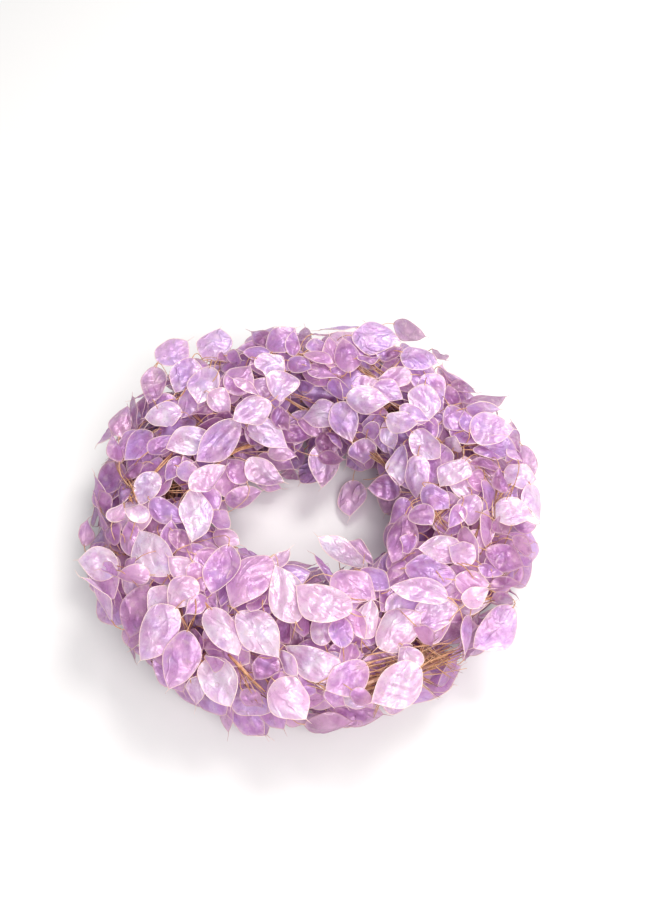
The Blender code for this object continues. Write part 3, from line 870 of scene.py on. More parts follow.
def hang_on(sprays, choices, placed, seed, draw):
    """Hangs one pod on one of the sprays named in choices, at the first try that fits."""
    for attempt in range(ATTEMPTS):
        dice = random.Random(seed * 1000 + attempt)
        spray = sprays[dice.choice(choices)]
        pod = draw(dice, spray["stem"], attempt / ATTEMPTS)
        candidate = pod and fits(pod, spray["solid"], placed)
        if candidate:
            placed.append(candidate)
            spray["pods"].append(pod)
            return


def lay_out():
    """Every spray with its stem and pods, as the CAD model places them."""
    placed = [Placed(*shape()) for shape in (stem_ring_shape, hoop_shape, binding_shape)]
    sprays = []
    for bunch in range(BUNCHES):
        for lane in LANES:
            stem = spray_stem(bunch, lane)
            solid_stem = Placed(*tube(stem, STEM_RADIUS + CLEARANCE, STEM_SIDES))
            placed.append(solid_stem)
            sprays.append({"bunch": bunch, "lane": lane, "stem": stem, "solid": solid_stem, "pods": []})

    for number, spray in enumerate(sprays):
        if spray["lane"].name in RESTING_LANES:
            hang_on(sprays, [number], placed, SEED + number, lambda dice, stem, _: resting_pod(dice, stem))

    inner = [number for number, spray in enumerate(sprays) if spray["lane"].name == "inner"]
    for k, place in enumerate(HANGING_PLACES):
        hang_on(sprays, inner, placed, SEED - 1 - k, lambda dice, stem, _: hanging_pod(dice, stem, place))

    for turn_taken in range(max(lane.pods for lane in LANES)):
        for number, spray in enumerate(sprays):
            first, last = spray["lane"].sector
            count = spray["lane"].pods
            if turn_taken >= count or len(spray["pods"]) >= count:
                continue
            # Golden-ratio steps spread the pods evenly over the sector
            across = (0.5 + GOLDEN_STEP * (turn_taken * GOLDEN_STEPS + spray["bunch"])) % 1.0
            target = first + (last - first) * across
            share = (turn_taken + 0.5) / count
            layer = LAYER_SHARES[(turn_taken + spray["bunch"]) % len(LAYER_SHARES)]
            hang_on(
                sprays,
                [number],
                placed,
                (SEED + number) * 100 + turn_taken,
                lambda dice, stem, effort: covering_pod(dice, stem, share, target, layer, effort),
            )
    return sprays


def array(vector):
    return np.array(tuple(vector))


def clamped(value):
    return min(1.0, max(0.0, value))


def unit(vectors):
    """Vectors, one in each row, at length one."""
    return vectors / np.maximum(np.linalg.norm(vectors, axis=-1, keepdims=True), 1e-12)


def smooth_through(shares, values, at):
    """A soft curve through values at rising shares."""
    i = np.clip(np.searchsorted(shares, at, side="right") - 1, 0, len(shares) - 2)
    shares, values = np.asarray(shares), np.asarray(values)
    s = (at - shares[i]) / (shares[i + 1] - shares[i])
    return values[i] + (values[i + 1] - values[i]) * (3 - 2 * s) * s * s


def add_character(pod, dice, loose):
    """Draws what only the looks of a pod need. loose is 0 where the pod keeps its CAD form, and up to 1."""
    flat = pod["rests"]
    middle = pod["base"] + pod["axis"] * (pod["length"] / 2)

    def bent(sizes):
        return dice.gauss(0.0, sizes[0] + sizes[1] * loose)

    pod["widest"] = dice.uniform(*WIDEST_PLACES)
    pod["skew"] = dice.gauss(0.0, SKEW)
    pod["base_power"] = dice.uniform(*BASE_POWERS)
    pod["tip_power"] = dice.uniform(*TIP_POWERS) + LOOSE_POINTED * loose
    pod["uneven"] = [
        (wave, dice.gauss(0.0, OUTLINE_UNEVEN), dice.uniform(0.0, math.tau)) for wave in OUTLINE_WAVES
    ]
    pod["bow"] = bent(BOWS)
    for name, sizes in (("bend", BENDS), ("cup", CUPS), ("twist", TWISTS)):
        pod[name] = 0.0 if flat else bent(sizes)
    pod["dents"] = [
        (
            dice.uniform(*DENT_DEPTHS) * (RESTING_DENTS if flat else 1.0),
            dice.uniform(*DENT_WAVES),
            dice.uniform(0.0, math.tau),
            dice.uniform(0.0, math.tau),
        )
        for _ in range(DENTS)
    ]
    pod["ruffle"] = (
        dice.randint(*RUFFLES),
        dice.uniform(0.0, math.tau),
        0.0 if flat else dice.uniform(*RUFFLE_STRENGTHS),
    )
    folded = dice.random() < FOLDED_SHARE * loose
    sideways = dice.choice((0.0, math.pi)) + dice.gauss(0.0, CURL_STRAY)
    distance = dice.uniform(*CURL_PLACES) * pod["width"] / 2
    angle = dice.uniform(*CURL_ANGLES) * dice.choice((-1.0, 1.0))
    pod["fold"] = (sideways, distance, angle) if folded else None
    # Painted shade: the further the pod lies towards the ring's middle, the darker it is painted
    shadowed = max(0.0, 1.0 - place_in_section(middle)[2])
    pod["pale"] = clamped(dice.gauss(PALENESS, PALE_SPREAD) - DEEP_PAINTED_SHADE * shadowed)
    pod["pink"] = dice.random()
    pod["wrinkled"] = dice.random() ** WRINKLED_POWER
    pod["pattern"] = dice.randint(0, LAST_PATTERN)
    pod["style"] = dice.uniform(*STYLE_LENGTHS)
    pod["style_stray"] = (dice.gauss(0.0, STYLE_STRAY), dice.gauss(0.0, STYLE_STRAY))
    return pod


def pod_surface(pod, depths, around):
    """Places on a pod's membrane: local and world coordinates, for shares of the way from middle to rim."""
    phase = np.arange(around) * math.tau / around
    share = (1.0 - np.cos(phase)) / 2.0
    widest = pod["widest"] + pod["skew"] * np.sign(np.sin(phase))
    away = np.where(share < widest, (widest - share) / widest, (share - widest) / (1.0 - widest))
    power = np.where(share < widest, pod["base_power"], pod["tip_power"])
    spread = (1.0 - np.minimum(away, 1.0) ** 2) ** power * np.sign(np.sin(phase))
    for wave, size, start in pod["uneven"]:
        spread = spread * (1.0 + size * np.sin(wave * phase + start))

    length, half = pod["length"], pod["width"] / 2
    depth = np.asarray(depths)[:, None]
    x = depth * spread * half
    y = length * (POD_MIDDLE + depth * (share - POD_MIDDLE))

    shares = (0.0, *(s for s, _ in POD_OUTLINE), 1.0)
    right = smooth_through(shares, (0.0, *(w for w, _ in pod["waves"]), 0.0), share)
    left = smooth_through(shares, (0.0, *(w for _, w in pod["waves"]), 0.0), share)
    wave = np.where(spread > 0, right, left)
    height = pod["crown"] * (1.0 - depth**2) + wave * depth**2
    height = height + pod["bend"] * (y / length) ** 2 + pod["cup"] * (x / half) ** 2
    height = height + pod["twist"] * 4.0 * (x / half) * (y / length - POD_MIDDLE)
    for dent, wavelength, heading, start in pod["dents"]:
        run = (x * math.cos(heading) + y * math.sin(heading)) * (math.tau / wavelength)
        height = height + dent * np.sin(run + start) * (1.0 - depth**3)
    ruffles, start, strength = pod["ruffle"]
    height = height + RUFFLE_DEPTH * strength * np.sin(ruffles * phase + start) * depth**3
    if pod["rests"]:
        height = np.abs(height) + RIM_RADIUS

    flat_x, flat_y = x.copy(), y.copy()
    x = x + pod["bow"] * length * 4.0 * (y / length) * (1.0 - y / length)
    if pod["fold"]:
        heading, distance, angle = pod["fold"]
        past = x * math.cos(heading) + (y - POD_MIDDLE * length) * math.sin(heading) - distance
        past = np.maximum(past, 0.0)
        turned = np.minimum(past / CURL_RADIUS, abs(angle))
        straight = past - turned * CURL_RADIUS
        back = past - CURL_RADIUS * np.sin(turned) - straight * np.cos(turned)
        rise = CURL_RADIUS * (1.0 - np.cos(turned)) + straight * np.sin(turned)
        x = x - back * math.cos(heading)
        y = y - back * math.sin(heading)
        height = height + math.copysign(1.0, angle) * rise

    base, axis, normal = array(pod["base"]), array(pod["axis"]), array(pod["normal"])
    across = np.cross(axis, normal)
    world = base + x[..., None] * across + y[..., None] * axis + height[..., None] * normal
    local = np.stack([flat_x, flat_y], axis=-1)
    return world, local


def strip(first, second):
    """Triangles between two closed rows of as many vertices."""
    a, b = np.asarray(first), np.asarray(second)
    a_next, b_next = np.roll(a, -1), np.roll(b, -1)
    return np.concatenate([np.stack([a, a_next, b_next], 1), np.stack([a, b_next, b], 1)])


def fan(middle, row):
    """Triangles between one vertex and a closed row."""
    row = np.asarray(row)
    return np.stack([np.full(len(row), middle), np.roll(row, -1), row], 1)


def in_scene(name, data):
    """A new object in the scene."""
    made = bpy.data.objects.new(name, data)
    bpy.context.scene.collection.objects.link(made)
    return made


def mesh_object(name, vertices, faces, material):
    """A new object in the scene with a mesh of one material."""
    mesh = bpy.data.meshes.new(name)
    mesh.from_pydata(vertices, [], faces)
    mesh.materials.append(material)
    return in_scene(name, mesh)


class Batch:
    """Shapes that go into one mesh, with the two vectors that its material reads at each vertex."""

    def __init__(self):
        self.points, self.faces, self.marks, self.looks = [], [], [], []
        self.count = 0

    def add(self, points, faces, mark, look):
        self.faces.append(np.asarray(faces) + self.count)
        self.points.append(points)
        self.marks.append(np.broadcast_to(mark, points.shape))
        self.looks.append(np.broadcast_to(look, points.shape))
        self.count += len(points)

    def add_stem(self, path, radii, sides, look):
        """Adds a stem along a path. Its material reads where each point is, in millimetres."""
        points, faces = tapered_tube(path, radii, sides)
        self.add(points, faces, points * TO_MILLIMETRES, look)

    def build(self, name, material):
        vertices, faces = np.concatenate(self.points).tolist(), np.concatenate(self.faces).tolist()
        made = mesh_object(name, vertices, faces, material)
        for label, values in (("mark", self.marks), ("look", self.looks)):
            attribute = made.data.attributes.new(label, "FLOAT_VECTOR", "POINT")
            attribute.data.foreach_set("vector", np.concatenate(values).astype(np.float32).ravel())
        made.data.shade_smooth()
        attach(made, "root")
        return made


def tapered_tube(points, radii, sides):
    """Points and triangles of a round tube along points, closed at both ends."""
    points = np.asarray(points, float)
    count = len(points)
    forward = unit(np.gradient(points, axis=0))
    side = np.cross(forward[0], (0.0, 0.0, 1.0) if abs(forward[0][2]) < STEEP else (1.0, 0.0, 0.0))
    turns = np.arange(sides) * math.tau / sides
    rows = []
    for i in range(count):
        side = side - forward[i] * side.dot(forward[i])
        side /= np.linalg.norm(side)
        other = np.cross(forward[i], side)
        rows.append(points[i] + radii[i] * (np.cos(turns)[:, None] * side + np.sin(turns)[:, None] * other))
    made = np.concatenate([*rows, points[:1], points[-1:]])
    row = np.arange(sides)
    faces = [strip(row + i * sides, row + (i + 1) * sides) for i in range(count - 1)]
    faces.append(fan(count * sides, row))
    faces.append(fan(count * sides + 1, row + (count - 1) * sides)[:, ::-1])
    return made, np.concatenate(faces)


def bezier(a, b, c, d, count):
    """Points along a cubic curve."""
    t = np.linspace(0.0, 1.0, count)[:, None]
    return a * (1 - t) ** 3 + 3 * b * t * (1 - t) ** 2 + 3 * c * t**2 * (1 - t) + d * t**3


def add_membrane(batch, pod):
    """The papery membrane: rings of triangles from the middle to the rim."""
    depths = np.linspace(0.0, 1.0, RINGS + 1) ** RING_SPACING
    world, local = pod_surface(pod, depths, AROUND)
    points = np.concatenate([world[0, :1], world[1:].reshape(-1, 3)])
    places = np.concatenate([local[0, :1], local[1:].reshape(-1, 2)]) * TO_MILLIMETRES
    row = np.arange(AROUND)
    faces = [fan(0, row + 1)]
    for i in range(RINGS - 1):
        faces.append(strip(row + 1 + i * AROUND, row + 1 + (i + 1) * AROUND))
    depth = np.concatenate([[0.0], np.repeat(depths[1:], AROUND)])
    # The whole part of the third number sets the pod's own pattern, and the rest tells how pink it is
    pink = clamped(pod["pink"] - FRONT_PINK * pod["base"].y)
    # Painted light and shade: paler towards the front, darker towards the back
    pale = clamped(pod["pale"] - FRONT_PAINTED_LIGHT * pod["base"].y)
    drawn = pod["pattern"] + PINK_BAND[0] + PINK_BAND[1] * pink
    mark = np.column_stack([places, np.full(len(points), drawn)])
    look = np.column_stack([depth, np.full(len(points), pale), np.full(len(points), pod["wrinkled"])])
    batch.add(points, np.concatenate(faces), mark, look)


def add_rim(batch, pod):
    """The thin rim round a membrane, with the style that stands out at its tip."""
    world, _ = pod_surface(pod, (RIM_INSIDE, 1.0), AROUND)
    inside, rim = world
    out = unit(rim - inside)
    forward = unit(np.roll(rim, -1, axis=0) - np.roll(rim, 1, axis=0))
    up = unit(np.cross(forward, out))
    rows = []
    for k in range(RIM_SIDES):
        a = math.tau * k / RIM_SIDES
        rows.append(rim + RIM_RADIUS * (math.cos(a) * out + math.sin(a) * up))
    points = np.concatenate(rows)
    row = np.arange(AROUND)
    faces = [strip(row + k * AROUND, row + ((k + 1) % RIM_SIDES) * AROUND) for k in range(RIM_SIDES)]
    share = (1.0 - np.cos(row * math.tau / AROUND)) / 2.0
    least, more = RIM_TONES
    tone = np.tile(least + more * np.sin(math.pi * np.clip(share, 0.0, 1.0)), RIM_SIDES)
    # The rim's tone is its pod's paleness, so it carries the pod's painted light and shade
    look = np.column_stack([tone, np.full(len(points), pod["pale"]), np.zeros(len(points))])
    batch.add(points, np.concatenate(faces), points * TO_MILLIMETRES, look)

    tip, side = AROUND // 2, np.cross(array(pod["axis"]), array(pod["normal"]))
    start, heading = rim[tip], out[tip]
    stray_side, stray_up = pod["style_stray"]
    end = start + pod["style"] * unit(heading + stray_side * side + stray_up * array(pod["normal"]))
    bends = start + heading * pod["style"] / 3, end - heading * pod["style"] / 4
    style = bezier(start, *bends, end, len(STYLE_TAPER))
    style[:, 2] = np.clip(style[:, 2], STYLE_RADIUS, STYLES_TOP)
    batch.add_stem(style, np.array(STYLE_TAPER) * STYLE_RADIUS, STYLE_SIDES, (STYLE_RIMMED, pod["pale"], 0.0))


def add_stalk(batch, pod, stem):
    """The stalk, which leaves the stem and bends into line with the pod."""
    root, base, axis = array(pod["root"]), array(pod["base"]), array(pod["axis"])
    if pod["rests"]:
        base = base + np.array((0.0, 0.0, STALK_RADII[2]))
    run = np.linalg.norm(base - root)
    ahead = unit(base - root) + STALK_LEAN * unit(array(stem[-1] - stem[2]))
    bends = root + STALK_PULLS[0] * run * unit(ahead), base - STALK_PULLS[1] * run * axis
    path = bezier(root, *bends, base + STALK_INTO_POD * axis, STALK_STEPS)
    path[:, 2] = np.maximum(path[:, 2], STALK_RADII[2])
    radii = np.interp(np.linspace(0, 1, STALK_STEPS), STALK_PLACES, (*STALK_RADII[:2], *STALK_RADII[1:]))
    batch.add_stem(path, radii, STALK_SIDES, (STALK_RIMMED, pod["pink"], 0.0))


def sheet(pod):
    """A pod's membrane in few triangles, a little larger than it is, to test it against its neighbours."""
    world, _ = pod_surface(pod, (0.0, 1.0 + SHEET_ROOM / (pod["width"] / 2)), SHEET_CORNERS)
    points = [Vector(world[0, 0])] + [Vector(p) for p in world[1]]
    return points, [(0, k + 1, (k + 1) % SHEET_CORNERS + 1) for k in range(SHEET_CORNERS)]


class Crowd:
    """Everything placed so far, kept so that one new pod is quickly tested against all of it."""

    def __init__(self):
        self.middles = np.zeros((CROWD_ROOM, 3))
        self.radii = np.zeros(CROWD_ROOM)
        self.orders = np.zeros(CROWD_ROOM)
        self.trees = []
        self.points = []

    def add(self, placed, points, order=-1):
        """Adds something. Its order tells what covers it in the photo: whatever has a higher one."""
        n = len(self.trees)
        self.middles[n] = placed.middle
        self.radii[n] = placed.radius
        self.orders[n] = order
        self.trees.append(placed.tree)
        self.points.append(points)

    def seen_along(self, placed, heading):
        """How far ahead of something each of the others is along a heading, and which it overlaps in view."""
        n = len(self.trees)
        apart = self.middles[:n] - array(placed.middle)
        ahead = apart @ array(heading)
        beside = np.linalg.norm(apart - ahead[:, None] * array(heading), axis=1)
        return ahead, beside < self.radii[:n] + placed.radius

    def covers_its_cover(self, placed, heading, order):
        """Whether something stands before what should cover it, seen along a heading."""
        _, near = self.seen_along(placed, heading)
        above = np.nonzero(near & (self.orders[: len(near)] > order))[0]
        return any(placed.tree.ray_cast(point, -heading)[0] for i in above for point in self.points[i])

    def free_run(self, placed, points, heading, furthest, order):
        """How far something can move along a heading before it meets what it covers, up to a furthest run."""
        ahead, near = self.seen_along(placed, heading)
        n = len(near)
        near &= (ahead < furthest + self.radii[:n] + placed.radius) & (self.orders[:n] < order)
        run = furthest
        for i in np.nonzero(near)[0]:
            for tree, starts, way in (
                (self.trees[i], points, heading),
                (placed.tree, self.points[i], -heading),
            ):
                for start in starts:
                    hit = tree.ray_cast(start, way, run)[3]
                    run = run if hit is None else min(run, hit)
        return run

    def crosses(self, placed):
        n = len(self.trees)
        apart = np.linalg.norm(self.middles[:n] - array(placed.middle), axis=1)
        near = np.nonzero(apart < self.radii[:n] + placed.radius)[0]
        return any(placed.tree.overlap(self.trees[i]) for i in near)


def inside_outline(points, room):
    """Whether points keep to the wreath's outline, with some room past that of the CAD pods."""
    for p in points:
        if p.z < LEAST_HEIGHT or p.z > TOP_HEIGHT + room or p.xy.length > OUTER_RADIUS + room:
            return False
        if reaches_into_hole(p, room):
            return False
    return True


def extra_pod(dice, spray):
    """One try at a pod that only the looks have."""
    stem = spray["stem"]
    below = point_on_stem(stem, dice.random())
    angle = math.atan2(below.y, below.x) + dice.uniform(*EXTRA_LEADS)
    turn = math.radians(dice.uniform(*spray["lane"].sector))
    layer = dice.uniform(*EXTRA_LAYERS)
    length = dice.uniform(*POD_LENGTHS) * dice.uniform(*EXTRA_SIZES)
    facing, normal, axis = draw_pose(dice, angle, turn, EXTRA_TILT)
    if axis is None:
        return None
    base = base_within(section_reach(angle, turn) * layer, angle, turn, facing, axis, length)
    root = stalk_root(dice, stem, base, axis, EXTRA_STALKS)
    if root is None:
        return None
    loose = EXTRA_LOOSE[0] + EXTRA_LOOSE[1] * layer
    return add_character(make_pod(dice, base, axis, normal, root, length), dice, loose)


def gather(sprays):
    """The ring and the CAD model's pods as a crowd."""
    crowd = Crowd()
    for shape in (stem_ring_shape, hoop_shape, binding_shape):
        vertices, faces = shape()
        crowd.add(Placed(vertices, faces), vertices)
    for spray in sprays:
        crowd.add(spray["solid"], [])
        for pod in spray["pods"]:
            points, faces = sheet(pod)
            crowd.add(Placed(points, faces), points)
    return crowd


def photo_ray(x, y):
    """Direction from the camera through a pixel of the photo."""
    right, up, ahead = camera_axes()
    aside, down = x - PHOTO_SIZE[0] / 2, y - PHOTO_SIZE[1] / 2
    return (ahead * FOCAL_PIXELS + right * aside - up * down).normalized()


def place_in_section(point):
    """The angle and turn of a point, and its reach as a share of the foliage's."""
    angle = math.atan2(point.y, point.x)
    away, high = point.xy.length - RING_RADIUS, point.z - RING_HEIGHT
    turn = math.atan2(high, away)
    return angle, turn, math.hypot(away, high) / section_reach(angle, turn)


def first_foliage(ray):
    """The point where a ray from the camera enters the foliage's outline, or comes nearest to it."""
    nearest, least = None, math.inf
    for step in range(RAY_STEPS):
        point = CAMERA_PLACE + ray * (RAY_START + RAY_STEP * step)
        if point.z < RAY_FLOOR:
            break
        share = place_in_section(point)[2]
        if share < 1.0:
            return point
        if share < least:
            nearest, least = point, share
    return nearest


def meets_plane(ray, place, normal):
    """The point where a ray from the camera meets a plane."""
    return CAMERA_PLACE + ray * ((place - CAMERA_PLACE).dot(normal) / ray.dot(normal))


def shown_pod(dice, row, effort):
    """One try at a pod of the photo: it fits its pixels, and stands well in front of the foliage."""
    base_x, base_y, tip_x, tip_y, wide, look = row
    if wide < BROAD_WIDTH:
        # The covered end of a small pod may be shorter
        shorter = SHOWN_SHORTER * max(0.0, effort - SHORTER_FROM)
        base_x, base_y = base_x + (tip_x - base_x) * shorter, base_y + (tip_y - base_y) * shorter
    spread = SHOWN_TILT * (FIRST_TILT + effort)
    middle_ray = photo_ray((base_x + tip_x) / 2, (base_y + tip_y) / 2)
    base_ray, tip_ray = photo_ray(base_x, base_y), photo_ray(tip_x, tip_y)
    target = first_foliage(middle_ray)
    angle, turn, _ = place_in_section(target)
    far = (target - CAMERA_PLACE).length
    stray = Vector((dice.gauss(0.0, spread), dice.gauss(0.0, spread), dice.gauss(0.0, spread)))
    flat = dice.uniform(*SHOWN_FLATNESS)
    to_camera = SHOWN_TO_CAMERA[0] - SHOWN_TO_CAMERA[1] * flat
    facing = outward(angle, turn) * (SHOWN_OUTWARD * (1.0 - flat)) - middle_ray * to_camera
    upward = Vector((0.0, 0.0, SHOWN_UPWARD[0] + SHOWN_UPWARD[1] * flat))
    normal = (facing + upward + stray).normalized()

    # A pod that looks too short leans along its length, and one that looks too narrow leans across it
    seen = meets_plane(tip_ray, target, normal) - meets_plane(base_ray, target, normal)
    for lean in SHOWN_LEANS:
        leaned = (normal + seen.normalized() * math.tan(lean)).normalized()
        if leaned.dot(middle_ray) > -LEAST_FACING:
            continue
        base = meets_plane(base_ray, target, leaned)
        tip = meets_plane(tip_ray, target, leaned)
        if (tip - base).length > SHOWN_LENGTHS[0]:
            break
    length = (tip - base).length
    if length > SHOWN_LENGTHS[1]:
        return None
    axis = (tip - base).normalized()
    width = wide * far / FOCAL_PIXELS
    least = SHOWN_LEAST_WIDTH * length
    roll = 0.0
    if width < least:
        roll = math.acos(max(NARROWEST, width / least)) * dice.choice((-1.0, 1.0))
        width = least
    across = axis.cross(leaned)
    seen_axis = (axis - middle_ray * axis.dot(middle_ray)).normalized()
    foreshortened = abs(across.dot(middle_ray.cross(seen_axis)))
    normal = (leaned * math.cos(roll) + across * math.sin(roll)).normalized()
    width /= max(foreshortened, SHOWN_LEAST_SEEN)
    if width > SHOWN_MOST_WIDTH * length * SHOWN_WIDTH_ROOM:
        return None

    pod = make_pod(dice, base, axis, normal, None, length)
    pod["width"] = min(width, SHOWN_MOST_WIDTH * length)
    add_character(pod, dice, SHOWN_LOOSE)
    if wide >= WHOLE_WIDTH:
        pod["fold"] = None
    # The look's paleness holds the painted light or shade that the pod had, besides its dye
    pod["pale"], pod["pink"], pod["wrinkled"] = LOOKS[look]
    return pod, middle_ray


def nearest_root(sprays, base, axis):
    """The spray and the place on its stem that carry a shown pod with a short stalk and little bend."""
    best, least = None, math.inf
    for spray in sprays:
        if (spray["stem"][4] - base).length > ROOT_REACH:
            continue
        for k in range(ROOT_CHOICES):
            root = point_on_stem(spray["stem"], (k + 0.5) / ROOT_CHOICES)
            stalk = base - root
            if SHOWN_STALKS[0] < stalk.length < SHOWN_STALKS[1]:
                cost = stalk.length + BEND_COST * (1.0 - stalk.normalized().dot(axis))
                if cost < least:
                    best, least = (spray, root), cost
    return best


def lower(pod, ray, crowd, order, lift):
    """The pod, moved along the line of sight until it lies on what it covers, or None where it can't."""
    raised = dict(pod, base=pod["base"] - ray * SHOWN_START)
    points, faces = sheet(raised)
    candidate = Placed(points, faces)
    run = crowd.free_run(candidate, points, ray, SHOWN_START + SHOWN_DEEPEST, order) - SHOWN_GAP - lift
    for _ in range(LOWER_TRIES):
        lowered = dict(raised, base=raised["base"] + ray * run)
        points, faces = sheet(lowered)
        candidate = Placed(points, faces)
        if not crowd.crosses(candidate):
            break
        run -= LOWER_STEP
    else:
        return None
    if crowd.covers_its_cover(candidate, ray, order):
        return None
    for point in points:
        if point.z > SHEETS_TOP or point.z < LEAST_HEIGHT or point.xy.length > SHEETS_OUTER:
            return None
    return lowered, candidate, points


def sticks_out(points):
    """How far points reach past the foliage, as the largest share of the foliage's own reach."""
    return max(place_in_section(point)[2] for point in points)


def lay_shown(sprays, crowd):
    """Lays the photo's pods on the foliage, broad ones first, each as low as it comes with a few tilts."""
    laid = []
    for number in sorted(range(len(SHOWN_PODS)), key=lambda n: SHOWN_PODS[n][4] < BROAD_WIDTH):
        row = SHOWN_PODS[number]
        lift = SHOWN_LIFT if row[4] >= BROAD_WIDTH else 0.0
        found = []
        for attempt in range(SHOWN_TRIES):
            dice = random.Random(SEED * 7 + number * 100 + attempt)
            effort = attempt / SHOWN_TRIES
            drawn = shown_pod(dice, row, effort)
            lowered = drawn and lower(drawn[0], drawn[1], crowd, number, lift * (1.0 - effort))
            if lowered:
                found.append(lowered)
            if len(found) == SHOWN_CHOICES:
                break
        if not found:
            continue
        pod, candidate, points = min(found, key=lambda lowered: sticks_out(lowered[2]))
        carried = nearest_root(sprays, pod["base"], pod["axis"])
        if not carried:
            continue
        spray, pod["root"] = carried
        crowd.add(candidate, points, number)
        spray["shown"].append(pod)
        laid.append(pod)
    return laid


def ray_beside(row, s, aside):
    """Ray through a place at a share of a row's line in the photo, and some pixels beside it."""
    x, y, end_x, end_y = row[:4]
    run = math.hypot(end_x - x, end_y - y)
    side_x, side_y = (y - end_y) / run, (end_x - x) / run
    return photo_ray(x + (end_x - x) * s + side_x * aside, y + (end_y - y) * s + side_y * aside)


def bundle_sheet(row):
    """A strip under the foliage's outline where the photo shows a bundle of stems."""
    bulge, wide = row[4], row[6]
    points = []
    for s in BUNDLE_SHARES:
        for edge in (-1.0, 1.0):
            ray = ray_beside(row, s, bulge * 4.0 * s * (1.0 - s) + edge * wide * BUNDLE_EDGE)
            points.append(first_foliage(ray) + ray * STEM_DEPTHS[1])
    faces = [(k, k + 1, k + 2) for k in range(len(points) - 2)]
    return points, faces


def joined(pods, strips=()):
    """The sheets of many pods, and other strips, as one tree."""
    all_points, all_faces = [], []
    for points, faces in [sheet(pod) for pod in pods] + [bundle_sheet(row) for row in strips]:
        all_faces += [tuple(k + len(all_points) for k in face) for face in faces]
        all_points += points
    return BVHTree.FromPolygons(all_points, all_faces)


def hides(points, laid):
    """Whether a sheet stands between the camera and a pod of the photo."""
    return any(
        laid.ray_cast(point, (point - CAMERA_PLACE).normalized(), HIDDEN_REACH)[0] for point in points
    )


def fill_in(sprays, crowd, laid):
    """Adds pods wherever one fits clear of those placed so far and hides none of the photo's."""
    for number, spray in enumerate(sprays):
        for k in range(EXTRA_PODS):
            for attempt in range(EXTRA_ATTEMPTS):
                dice = random.Random(((SEED + number) * 100 + k) * 1000 + attempt)
                pod = extra_pod(dice, spray)
                if not pod or on_bare_spot(pod):
                    continue
                points, faces = sheet(pod)
                if not inside_outline(points, EXTRA_ROOM):
                    continue
                candidate = Placed(points, faces)
                if not crowd.crosses(candidate) and not hides(points, laid):
                    crowd.add(candidate, points)
                    spray["extra"].append(pod)
                    break


class Nodes:
    """A short way to write a material's nodes."""

    def __init__(self, name):
        self.material = bpy.data.materials.new(name)
        self.material.use_nodes = True
        self.tree = self.material.node_tree
        self.tree.nodes.clear()

    def add(self, kind, settings=None, **inputs):
        node = self.tree.nodes.new("ShaderNode" + kind)
        for key, value in (settings or {}).items():
            setattr(node, key, value)
        for key, value in inputs.items():
            socket = node.inputs[int(key[1:]) if key[1:].isdigit() else key.replace("_", " ")]
            if isinstance(value, bpy.types.NodeSocket):
                self.tree.links.new(value, socket)
            else:
                socket.default_value = value
        return node

    def math(self, operation, *values, clamp=False):
        inputs = {f"i{k}": value for k, value in enumerate(values)}
        return self.add("Math", {"operation": operation, "use_clamp": clamp}, **inputs).outputs[0]

    def noise(self, vector, scale, detail=2.0, roughness=0.5, distortion=0.0):
        shape = {"Scale": scale, "Detail": detail, "Roughness": roughness, "Distortion": distortion}
        return self.add("TexNoise", Vector=vector, **shape).outputs["Fac"]

    def ranged(self, value, low, high, to_low=0.0, to_high=1.0):
        ends = {"From_Min": low, "From_Max": high, "To_Min": to_low, "To_Max": to_high}
        return self.add("MapRange", {"interpolation_type": "SMOOTHSTEP"}, Value=value, **ends).outputs[0]

    def swayed(self, value, noise, size, clamp=False):
        """A value plus a noise round its middle, times a size."""
        return self.math("MULTIPLY_ADD", self.math("SUBTRACT", noise, 0.5), size, value, clamp=clamp)

    def product(self, first, second, third):
        return self.math("MULTIPLY", self.math("MULTIPLY", first, second), third)

    def scattered(self, vector, scale):
        """Distance to the nearest of many scattered points, in the vector's unit, and that point's draws."""
        made = self.add("TexVoronoi", {"voronoi_dimensions": "2D"}, Vector=vector, Scale=scale)
        far = self.math("MULTIPLY", made.outputs["Distance"], 1.0 / scale)
        return far, self.split(made.outputs["Color"])

    def mix(self, share, first, second):
        return self.add("Mix", {"data_type": "RGBA"}, i0=share, i6=first, i7=second).outputs[2]

    def vector(self, label):
        return self.add("Attribute", {"attribute_name": label}).outputs["Vector"]

    def split(self, vector):
        return self.add("SeparateXYZ", Vector=vector).outputs

    def finish(self, shader):
        self.add("OutputMaterial", Surface=shader)
        return self.material


def rgb(red, green, blue):
    return (red, green, blue, 1.0)


# Shades of a pod: its darkest, then the range of paleness over which each next one takes over
DARKEST = rgb(0.27, 0.08, 0.22)
PALER_SHADES = (
    (0.00, 0.28, rgb(0.43, 0.17, 0.42)),
    (0.22, 0.52, rgb(0.60, 0.29, 0.64)),
    (0.45, 0.76, rgb(0.79, 0.54, 0.79)),
    (0.68, 0.98, rgb(0.93, 0.83, 0.93)),
)
# Pink and blue tints of the dye, also used for painted light shining through and painted reflections of the
# sky
PINK_TINT_AND_PAINTED_SHINE = rgb(0.93, 0.56, 0.75)
BLUE_TINT_AND_PAINTED_SKY = rgb(0.60, 0.46, 0.95)
WARMER = rgb(0.90, 0.70, 0.68)
RIM_GLOW = rgb(0.93, 0.74, 0.80)
SEED_PRINT = rgb(0.42, 0.24, 0.20)
SPECK = rgb(0.20, 0.09, 0.12)
SHONE_THROUGH = rgb(0.86, 0.50, 0.82)
SEEN_THROUGH = rgb(0.98, 0.90, 0.97)
